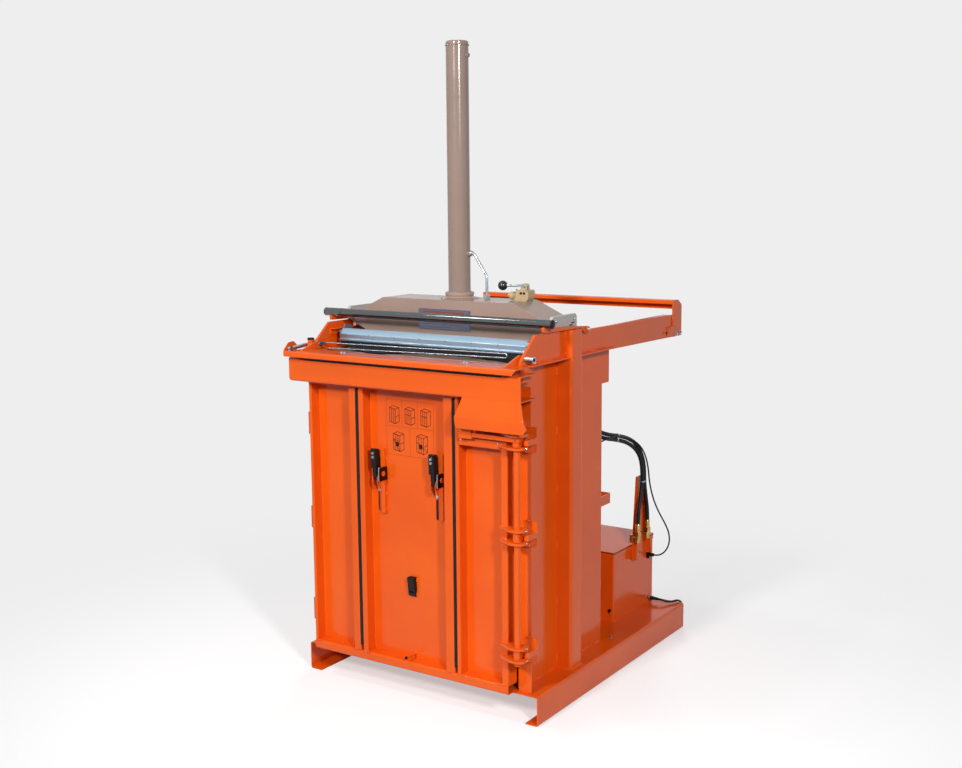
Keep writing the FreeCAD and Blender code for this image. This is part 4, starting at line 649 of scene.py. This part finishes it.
def make_frame_welds():
    wall, base, plate, sheet = 0.4135, 0.1055, 0.4455, -0.0005
    front, rear = 0.2565, 0.3365        # faces of the columns
    seams = []
    for low, high in ((0.02, 0.24), (0.35, 0.57)):
        seams += stitches((wall, low, base), (wall, high, base), 3, 0.034)
    seams += [((0.420, sheet, base), (0.450, sheet, base)), ((0.415, front, base), (0.466, front, base))]
    seams += [((0.4725, 0.264, base), (0.4725, 0.329, base))]
    for y in (front, rear):
        seams += stitches((wall, y, 0.13), (wall, y, 1.175), 6, 0.022)
    for y, low, high in ((front, 1.224, 1.240), (front, 1.288, 1.303),
                         (rear, 1.224, 1.240), (rear, 1.284, 1.297)):
        seams += [upright(plate, y, low, high)]
    for low, high in ((0.06, 0.24), (0.35, 0.57)):
        seams += stitches((plate, low, 1.2185), (plate, high, 1.2185), 3, 0.026)
    seams += [upright(plate, -0.020, 1.1635, 1.172), ((plate, -0.006, 1.1975), (plate, 0.006, 1.1975))]
    seams += [((0.4505, 1.066, 1.2405), (0.4505, 1.100, 1.2405)), upright(plate, 1.064, 1.206, 1.240)]
    seams += stitches((0.30, sheet, 1.112), (0.40, sheet, 1.112), 2, 0.03)
    seams = both_seams(seams)
    for low in LOCK_ZS:
        foot, top = low - 0.020, low + 0.065
        seams += [((0.449, -0.0085, z), (0.463, -0.0085, z)) for z in (top, foot)]
        seams += [upright(0.4475, sheet, foot + 0.004, top - 0.004)]
    for middle in HINGE_ZS:
        for z in (middle - 0.027, middle + 0.027):
            seams += [upright(x, sheet, z - 0.010, z + 0.010) for x in (-0.4475, -0.4565)]
    seams += [upright(x, 0.585, 0.617, 0.642) for x in (-0.4005, 0.4005)]
    seams += stitches((-0.38, 0.5845, base), (0.38, 0.5845, base), 6, 0.034)
    seams += stitches((-0.40, 0.5845, 1.0795), (0.40, 0.5845, 1.0795), 7, 0.030)
    welds("frame_weld_beads", "frame", seams)


def make_door_welds():
    panel, ribs = -0.0165, DOOR_RIBS
    seams = []
    for low in LOCK_ZS:
        for z in (low, low + 0.008, low + 0.043, low + 0.051):
            seams += [((0.390, -0.0615, z), (0.408, -0.0615, z))]
    for middle in HINGE_ZS:
        seams += [upright(-0.4355, y, middle - 0.010, middle + 0.010) for y in (-0.0345, -0.0255)]
    for low, high in ((-0.430, -0.224), (-0.204, 0.188), (0.208, 0.404)):
        seams += [((x, ribs, 0.1412), (x + 0.022, ribs, 0.1412)) for x in (low, high - 0.030)]
    for x, z in TENSIONERS.values():
        for side, lows in ((-0.0135, (-0.042, -0.012, 0.014)), (0.0315, (-0.120, -0.060, 0.0, 0.060, 0.094))):
            seams += [upright(x + side, panel, z + low, z + low + 0.010) for low in lows]
        seams += [((x - 0.008, panel, z + 0.0265), (x + 0.008, panel, z + 0.0265))]
    for z in (0.960, 0.948):
        seams += [upright(x, ribs, z - 0.004, z + 0.004) for x in (0.2195, 0.3845)]
    seams += [upright(x, panel, z, z + 0.009) for x in (-0.0245, 0.0045) for z in (0.374, 0.425)]
    welds("door_weld_beads", "door", seams, 0.0062)


def make_head_welds():
    seams = []
    for radius, z in ((0.0655, 1.3995), (0.0405, 1.4232), (0.0402, 2.2815)):
        seams += ring_seams(0.0, 0.275, z, radius, 40)
    # the barrel's beads take its darker taupe, whose darkness is painted shade
    welds("head_weld_beads", "head", seams, 0.0052, taupe_enamel_painted_shade)
    seams = []
    for x0, x1 in ((-0.380, -0.30), (-0.24, -0.16), (-0.08, 0.0), (0.08, 0.16), (0.24, 0.32)):
        seams += [((x0, y, 1.2128), (x1, y, 1.2128)) for y in (0.1035, 0.5405)]
    welds("platen_weld_beads", "platen", seams, 0.0062, taupe_enamel)


def make_lock_welds():
    seams = []
    for low in LOCK_ZS:
        seams += ring_seams(0.458, -0.076, low + 0.0105, 0.0112, 20)
    welds("lock_weld_beads", "lock", seams, 0.0045)


def make_fasteners():
    zinc = both_sides([(0.4505, 1.135, 1.210, "+x", 0.013), (0.4505, 1.171, 1.2135, "+x", 0.013)])
    zinc += [(x, 0.6385, z, "+y", 0.013) for x in (-0.34, 0.0, 0.34) for z in (1.11, 1.175)]
    zinc += [(x, 0.6905, 0.6295, "+y", 0.012) for x in (-0.36, 0.36)]
    zinc += [(x, 0.6175, z, "+y", 0.005) for x in (0.327, 0.349) for z in (0.801, 0.847)]
    zinc += [(0.3715, y, 0.3345, "+x", 0.010) for y in (0.946, 0.970, 1.030)]
    zinc += [(x, 1.092, 0.3875, "+z", 0.011) for x in (-0.030, 0.340)]
    zinc += [(x, 0.626, 0.1055, "+z", 0.010) for x in (-0.044, 0.4347)]
    zinc += [(0.3835, 1.0602, z, "+x", 0.004) for z in (0.3005, 0.3215)]
    fasteners("frame_zinc_bolts", "frame", "bolt", *ZINC, zinc)
    dots = both_sides([(0.4505, 1.047, 1.2227, "+x", 0.008)])
    dots += [(0.3532, 0.7715, 0.1520, "-y", 0.013)]
    fasteners("frame_black_screws", "frame", "screw", *BLACK, dots)
    fasteners("frame_lock_keys", "frame", "screw", *ZINC, [(0.3532, 0.7715, 0.1400, "-y", 0.006)])
    door = [(x, DOOR_RIBS, z, "-y", across)
            for x, z, across in ((0.3764, 0.9635, 0.0062), (0.3935, 0.9590, 0.0058),
                                 (0.4030, 0.9600, 0.0050), (0.2290, 0.9635, 0.0062))]
    for low in LOCK_ZS:
        door += [(0.4862, -0.0640, low + rise, "+x", 0.0060) for rise in (0.0055, 0.0465)]
    fasteners("door_zinc_screws", "door", "screw", *ZINC, door)
    fasteners("door_black_pin", "door", "screw", *BLACK, [(-0.007, -0.0702, 0.158, "-y", 0.011)])
    flap = [(x, -0.072, 1.2232, "+z", 0.010) for x in (-0.266, -0.252, 0.252, 0.266)]
    fasteners("flap_studs", "flap", "rivet", *ZINC, flap)
    pitch = 0.110
    rivets = [(x + pitch * k, y, z, "-y", across)
              for x, y, z, across in ((-0.3767, 0.0870, 1.2665, 0.0075), (-0.3590, 0.0835, 1.2465, 0.0070))
              for k in range(8)]
    fasteners("guard_rivets", "head", "rivet", *ZINC, rivets)
    head = both_sides([(0.4412, y, 1.3420, "+x", 0.011) for y in (0.3250, 0.2050)])
    head += [(x, 0.1865, z, "-y", 0.0045) for x in (-0.112, 0.099) for z in (1.297, 1.3605)]
    head += [(0.259 + dx, 0.2778, 1.4385, "-y", 0.007) for dx in (-0.020, 0.020)]
    fasteners("head_zinc_screws", "head", "screw", *ZINC, head)
    fasteners("valve_clevis_bolt", "head", "bolt", *ZINC, [(0.261, 0.2888, 1.450, "-y", 0.011)])
    fasteners("valve_black_screws", "head", "screw", *BLACK,
              [(x, 0.2778, 1.4260, "-y", 0.0085) for x in (0.2560, 0.2690)])
    for name, (x, z) in TENSIONERS.items():
        fasteners("tensioner_screws_" + name, "tensioner_" + name, "screw", *ZINC,
                  [(x, -0.0534, z + 0.090, "-y", 0.0105), (x, -0.0530, z + 0.076, "-y", 0.0105)])
    fasteners("handle_pin_clips", "frame", "screw", *ZINC,
              both_sides([(0.4650, 0.388, 1.301, "+x", 0.012)]))


# ---------------------------------------------------------------- shaped pieces
def prism(bm, plane, outline, low, high):
    """A closed block: an outline in one plane, from low to high across it."""
    order = {"xz": (0, 2, 1), "xy": (0, 1, 2), "yz": (2, 0, 1)}[plane]
    rings = [[bm.verts.new(spot(*[(a, b, level)[k] for k in order])) for a, b in outline]
             for level in (low, high)]
    join_rings(bm, rings)


def join_rings(bm, rings):
    """Walls between neighbouring rings of vertices, and a face on each end."""
    for one, two in zip(rings, rings[1:]):
        count = max(len(one), len(two))
        for i in range(count):
            j = (i + 1) % count
            bm.faces.new((one if len(one) == 1 else [one[i], one[j]])
                         + (two if len(two) == 1 else [two[j], two[i]]))
    for ring in (rings[0], rings[-1]):
        if len(ring) > 1:
            bm.faces.new(ring)


def rounded(a0, b0, a1, b1, radius, steps=4):
    """The outline of a rectangle with rounded corners."""
    corners = ((a1 - radius, b1 - radius), (a0 + radius, b1 - radius),
               (a0 + radius, b0 + radius), (a1 - radius, b0 + radius))
    return [(a + radius * math.cos(turn), b + radius * math.sin(turn))
            for quarter, (a, b) in enumerate(corners)
            for turn in (math.pi / 2 * (quarter + k / steps) for k in range(steps + 1))]


def lathe(bm, start, axis, profile, sides=RING_SIDES):
    """A closed turned shape from (distance along the axis, radius) steps."""
    ahead = Vector(axis).normalized()
    side = ahead.orthogonal().normalized()
    across = ahead.cross(side)
    rings = []
    for along, radius in profile:
        middle = spot(*start) + ahead * along
        turns = [2 * math.pi * i / sides for i in range(sides)] if radius else [0.0]
        rings.append([bm.verts.new(middle + (side * math.cos(a) + across * math.sin(a)) * radius)
                      for a in turns])
    join_rings(bm, rings)


def band(bm, centre, axis, offset, radius, width):
    """A strap pulled round two hoses, whose middles lie at the centre plus and minus the offset."""
    ahead = Vector(axis).normalized()
    side = Vector(offset) - ahead * Vector(offset).dot(ahead)
    reach = side.length
    side.normalize()
    across = ahead.cross(side)
    turns = [2 * math.pi * (i + 0.5) / RING_SIDES for i in range(RING_SIDES)]
    rings = []
    for shift in (-width / 2, width / 2):
        middle = spot(*centre) + ahead * shift
        rings.append([bm.verts.new(middle + across * math.sin(a) * radius
                                   + side * (math.cos(a) * radius + math.copysign(reach, math.cos(a))))
                      for a in turns])
    join_rings(bm, rings)


def made(name, body, slot, finish, bm, smooth=30.0):
    """The closed mesh as a finished piece that rides on a body."""
    bmesh.ops.recalc_face_normals(bm, faces=bm.faces)
    piece = shown(name, bm, finish, smooth)
    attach(piece, body)
    return piece


PRINT_SINK = 0.0002         # how deep a printed shape reaches into the face that carries it
PRINT_PROUD = 0.00025       # and how far it stands out of it


def stroke(bm, ends, width, face, proud=PRINT_PROUD):
    """A straight line of print on a face in the xz plane, as a narrow raised bar."""
    start, end = (Vector((a, b, 0)) for a, b in (ends[:2], ends[2:]))
    along = (end - start).normalized() * width / 2
    side = Vector((-along.y, along.x, 0))
    start, end = start - along, end + along
    outline = [tuple(point[:2]) for point in (start + side, start - side, end - side, end + side)]
    prism(bm, "xz", outline, face - proud, face + PRINT_SINK)


def make_curtain():
    """The guard's rubber curtain: it hangs behind the guard, and its free edge waves over the plate."""
    half, top, fold, middle, thick = 0.404, 1.251, 1.2395, 0.0925, 0.0034
    # x, y and z along the free edge
    edge = [(-0.404, 0.092, 1.234), (-0.345, 0.062, 1.228), (-0.300, 0.042, 1.219), (-0.227, 0.032, 1.2145),
            (-0.165, 0.034, 1.2145), (-0.125, 0.062, 1.215), (-0.095, 0.086, 1.2185), (0.0, 0.090, 1.219),
            (0.20, 0.089, 1.219), (0.25, 0.082, 1.2165), (0.298, 0.074, 1.215), (0.36, 0.054, 1.215),
            (0.404, 0.060, 1.217)]
    columns, straight, bent = 90, 2, 9
    bm = bmesh.new()
    layers = ([], [])
    for c in range(columns + 1):
        x = -half + 2 * half * c / columns
        k = min(len(edge) - 2, sum(1 for place in edge[1:] if place[0] < x))
        share = (x - edge[k][0]) / (edge[k + 1][0] - edge[k][0])
        share = share * share * (3 - 2 * share)
        y_low, z_low = (edge[k][i] + (edge[k + 1][i] - edge[k][i]) * share for i in (1, 2))
        line = [(middle, top + (fold - top) * r / straight, 0.0, -1.0) for r in range(straight)]
        for r in range(bent + 1):
            t = r / bent
            knee = z_low + 0.3 * (fold - z_low)
            line.append((middle + (y_low - middle) * t * t,
                         fold * (1 - t) ** 2 + 2 * t * (1 - t) * knee + z_low * t * t,
                         2 * t * (y_low - middle),
                         2 * (1 - t) * (knee - fold) + 2 * t * (z_low - knee) - 1e-4))
        for layer, side in zip(layers, (-thick / 2, thick / 2)):
            layer.append([bm.verts.new(spot(x, y - side * dz / math.hypot(dy, dz),
                                            z + side * dy / math.hypot(dy, dz)))
                          for y, z, dy, dz in line])
    rows = len(layers[0][0])
    for layer in layers:
        for one, two in zip(layer, layer[1:]):
            for r in range(rows - 1):
                bm.faces.new((one[r], two[r], two[r + 1], one[r + 1]))
    area = sum(face.calc_area() for face in bm.faces) / 2
    front, back = layers
    for one, two, three, four in zip(front, front[1:], back, back[1:]):
        bm.faces.new((one[0], two[0], four[0], three[0]))
        bm.faces.new((one[-1], two[-1], four[-1], three[-1]))
    for one, two in ((front[0], back[0]), (front[-1], back[-1])):
        for r in range(rows - 1):
            bm.faces.new((one[r], one[r + 1], two[r + 1], two[r]))
    curtain = made("guard_curtain", "head", *RUBBER, bm, 50.0)
    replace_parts(curtain, "guard_rubber")


def make_plates():
    """The blue-grey plate and the blank label on the head, without any wording."""
    front = 0.1862
    bm = bmesh.new()
    prism(bm, "xz", rounded(-0.118, 1.291, 0.105, 1.366, 0.003), front, front + 0.0010)
    made("head_plate", "head", "light_grey_enamel", plate_metal, bm)
    bm = bmesh.new()
    prism(bm, "xz", rounded(-0.417, 1.3045, -0.363, 1.3275, 0.0015), 0.1866, 0.1872)
    made("head_label", "head", "light_grey_enamel", lilac_film, bm)
    bm = bmesh.new()
    proud = 0.00015
    prism(bm, "xz", rounded(-0.100, 1.345, 0.080, 1.358, 0.001), front - proud, front + PRINT_SINK)
    for z, *ends in ((1.3365, (-0.100, -0.030), (0.0, 0.055)), (1.3290, (-0.100, -0.010), (0.0, 0.072)),
                     (1.3190, (-0.100, -0.052), (-0.020, 0.040)), (1.3115, (-0.100, -0.036), (-0.020, 0.062)),
                     (1.3025, (-0.100, 0.020))):
        for x0, x1 in ends:
            stroke(bm, (x0, z, x1, z), 0.0012, front, proud)
    made("head_plate_print", "head", "orange_enamel", plate_print, bm)
    bm = bmesh.new()
    corners = ((-0.1145, 1.2940), (0.1015, 1.2940), (0.1015, 1.3630), (-0.1145, 1.3630))
    for one, two in zip(corners, corners[1:] + corners[:1]):
        stroke(bm, one + two, 0.0007, front, 0.00012)
    made("head_plate_line", "head", *BLACK, bm)


def make_guide_print():
    """The printed field on the door: plain cells with boxes and arrows, no wording."""
    face = -0.0160
    left, right, low, half_way, high = -0.116, 0.086, 0.870, 0.971, 1.066
    third = (right - left) / 3
    middle = (left + right) / 2
    lines = [(left, z, right, z) for z in (low, high, half_way)]
    lines += [(x, low, x, high) for x in (left, right)] + [(middle, low, middle, half_way)]
    lines += [(x, half_way, x, high) for x in (left + third, right - third)]
    bm = bmesh.new()
    for ends in lines:
        stroke(bm, ends, 0.0013, face)
    made("door_print_lines", "door", "orange_enamel", faint_ink, bm)
    bm = bmesh.new()
    cells = [(left + third * (k + 0.5), (half_way + high) / 2 - 0.004, 0.036) for k in range(3)]
    cells += [(left + (right - left) * share, (low + half_way) / 2, 0.040) for share in (0.25, 0.75)]
    # a drawn box: its corners, its edges, and what lies on it in each cell
    corners = {"a": (-0.55, -0.80), "b": (0.15, -0.95), "c": (0.15, 0.45), "d": (-0.55, 0.60),
               "e": (0.60, -0.70), "f": (0.60, 0.65), "g": (-0.10, 0.80), "h": (-0.32, -0.85),
               "i": (-0.32, 0.55), "j": (-0.08, -0.90), "k": (-0.08, 0.50), "l": (0.15, -0.30),
               "m": (0.60, -0.10), "n": (-0.55, 0.10), "o": (0.15, -0.05)}
    edges = ("ab", "bc", "cd", "da", "be", "ef", "fc", "fg", "gd", "hi", "jk")
    extras = (("lm",), ("no", "lm"), ("no",), ("lm", "no", "nb"), ("lm", "ne"))
    for (x, z, size), more in zip(cells, extras):
        for one, two in edges + more:
            ends = [at + size * value for at, value in zip((x, z, x, z), corners[one] + corners[two])]
            stroke(bm, ends, 0.0021, face)
    for x, z, size in cells[3:]:
        prism(bm, "xz", rounded(x - size * 0.28, z - size * 0.50, x + size * 0.05, z - size * 0.10, 0.002),
              face - PRINT_PROUD, face + PRINT_SINK)
    made("door_print_figures", "door", "orange_enamel", screen_ink, bm)


def make_tensioner_dress():
    """Each strap tensioner's cam plate with its disc, the bright strap blade, and black sheets on the door
    that are painted shade in the strap slots.
    """
    zinc, chrome, slot_shade, disc = (bmesh.new() for k in range(4))
    for x, z in TENSIONERS.values():
        plate = rounded(-0.0640, z - 0.0085, -0.0170, z + 0.0425, 0.006)
        inlay = rounded(-0.0622, z - 0.0067, -0.0188, z + 0.0407, 0.005)
        prism(zinc, "yz", plate, x + 0.0308, x + 0.0335)
        prism(chrome, "yz", inlay, x + 0.0330, x + 0.0352)
        lathe(disc, (x + 0.0348, -0.041, z + 0.018), (1, 0, 0),
              [(0, 0), (0, 0.0095), (0.0016, 0.0095), (0.0022, 0.0080), (0.0022, 0)])
        prism(zinc, "xz", rounded(x - 0.0050, z - 0.052, x + 0.0050, z - 0.018, 0.001), -0.0202, -0.0188)
    # painted shade: black sheets where the strap slots show dark
    prism(slot_shade, "xz", rounded(-0.1558, 0.662, -0.1508, 0.733, 0.002), -0.0194, -0.0188)
    prism(slot_shade, "xz", rounded(0.0955, 0.661, 0.1040, 0.731, 0.002), -0.0194, -0.0188)
    prism(slot_shade, "xz", rounded(0.1316, 0.660, 0.1396, 0.895, 0.001), -0.0176, -0.0158)
    made("tensioner_cam_plates", "door", "chrome_tube", dark_chrome, chrome)
    made("tensioner_discs", "door", "orange_enamel", orange_enamel, disc)
    made("tensioner_blade_faces", "door", "zinc_steel", bright_steel, zinc)
    made("tensioner_slot_shade", "door", *RUBBER, slot_shade)


def make_handle_dress():
    """Domed plugs in the ends of the hand tube, and the joint rings on it."""
    y, z, radius = 0.108, 1.344, 0.015
    caps, rings = bmesh.new(), bmesh.new()
    for side in (-1, 1):
        lathe(caps, (side * HANDLE_END, y, z), (side, 0, 0),
              [(-0.004, 0), (-0.004, radius - 0.0015), (0.0001, radius - 0.0015), (0.0001, radius + 0.0004),
               (0.0025, radius + 0.0004), (0.0050, radius - 0.002), (0.0066, radius - 0.006), (0.0072, 0)])
    for x in (-0.408, 0.310):
        lathe(rings, (x, y, z), (1, 0, 0),
              [(0, 0), (0, radius + 0.0004), (0.0016, radius + 0.0004), (0.0016, 0)])
    made("handle_end_plugs", "handle", *BLACK, caps, 40.0)
    made("handle_joint_rings", "handle", *BLACK, rings)


def make_power_unit_dress():
    """The cable gland, the lid's gasket, the hose ferrules and the hose ties."""
    nut, sleeve, gasket, ferrules, ties, white = (bmesh.new() for k in range(6))
    lathe(nut, (0.3708, 1.078, 0.124), (1, 0, 0),
          [(0, 0), (0, 0.0098), (0.008, 0.0098), (0.009, 0.0085), (0.009, 0)], sides=6)
    lathe(sleeve, (0.3790, 1.078, 0.124), (1, 0, 0),
          [(0, 0), (0, 0.0082), (0.010, 0.0082), (0.012, 0.0072), (0.034, 0.0055), (0.036, 0.0050),
           (0.036, 0)])
    made("gland_nut", "frame", *ZINC, nut)
    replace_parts(made("gland_sleeve", "frame", *RUBBER, sleeve), "cable_gland")
    prism(gasket, "xy", rounded(-0.0626, 0.7714, 0.3716, 1.1206, 0.004), 0.3806, 0.3838)
    made("lid_gasket", "frame", *RUBBER, gasket)
    for y in FITTING_YS:
        profile = [(0, 0), (0, 0.0090)]
        for k in range(3):
            low = 0.006 * k
            profile += [(0.002 + low, 0.0096), (0.005 + low, 0.0096), (0.0065 + low, 0.0089)]
        lathe(ferrules, (HOSE_X, y, 0.4535), (0, 0, 1), profile + [(0.0220, 0.0082), (0.0220, 0)])
    made("hose_ferrules", "frame", "brass_fitting", gold_passivate, ferrules, 50.0)
    radius, width = HOSE + 0.0012, 0.0052
    band(ties, (HOSE_X, 0.957, 0.640), (0, 0, 1), (0, 0.009, 0), radius, width)
    band(white, (0.354, 0.820, 0.833), (0.022, 0.130, -0.033), (0.001, 0.006, 0.007), radius, width)
    made("hose_tie_blue", "frame", "black_plastic", blue_nylon, ties)
    made("hose_tie_white", "frame", "black_plastic", white_nylon, white)


def make_head_dress():
    """Black sheets painted as the shade in the slots of the head's end plates and in the ringed hole in the
    guard's left end plate, and the hole's ring.
    """
    slot_shade, ring = bmesh.new(), bmesh.new()
    for side in (-1, 1):
        for y, z in ((0.318, 1.330), (0.3045, 1.3225)):
            # painted shade: black sheets where the end plates' slots show dark
            prism(slot_shade, "yz", rounded(y - 0.011, z - 0.0025, y + 0.011, z + 0.0025, 0.0024),
                  side * 0.4405, side * 0.4413)
    lathe(ring, (-0.4047, 0.109, 1.266), (1, 0, 0), [(0, 0), (0, 0.0085), (0.0010, 0.0085), (0.0010, 0)])
    # painted shade filling the guard's hole inside its ring
    lathe(slot_shade, (-0.4047, 0.109, 1.266), (1, 0, 0), [(0, 0), (0, 0.0052), (0.0013, 0.0052), (0.0013, 0)])
    made("head_slot_shade", "head", *BLACK, slot_shade)
    made("guard_hole_ring", "head", *ZINC, ring)


def make_gap_shade():
    """Black strips painted as the shade in gaps: along the header under the flap's lip, and between the
    door's sections.
    """
    header, door = bmesh.new(), bmesh.new()
    # painted shade: black strips where the gaps show dark
    prism(header, "xz", rounded(-0.418, 1.1895, 0.418, 1.1965, 0.001), -0.1016, -0.1008)
    for x0, x1 in ((-0.2202, -0.2088), (0.1928, 0.2032)):
        prism(door, "xz", rounded(x0, 0.1620, x1, 1.0920, 0.001), -0.0602, -0.0540)
    made("header_gap_shade", "frame", *RUBBER, header)
    made("door_section_gap_shade", "door", *RUBBER, door)


make_gap_shade()
make_curtain()
make_plates()
make_guide_print()
make_tensioner_dress()
make_handle_dress()
make_power_unit_dress()
make_head_dress()
make_frame_welds()
make_door_welds()
make_head_welds()
make_lock_welds()
make_fasteners()
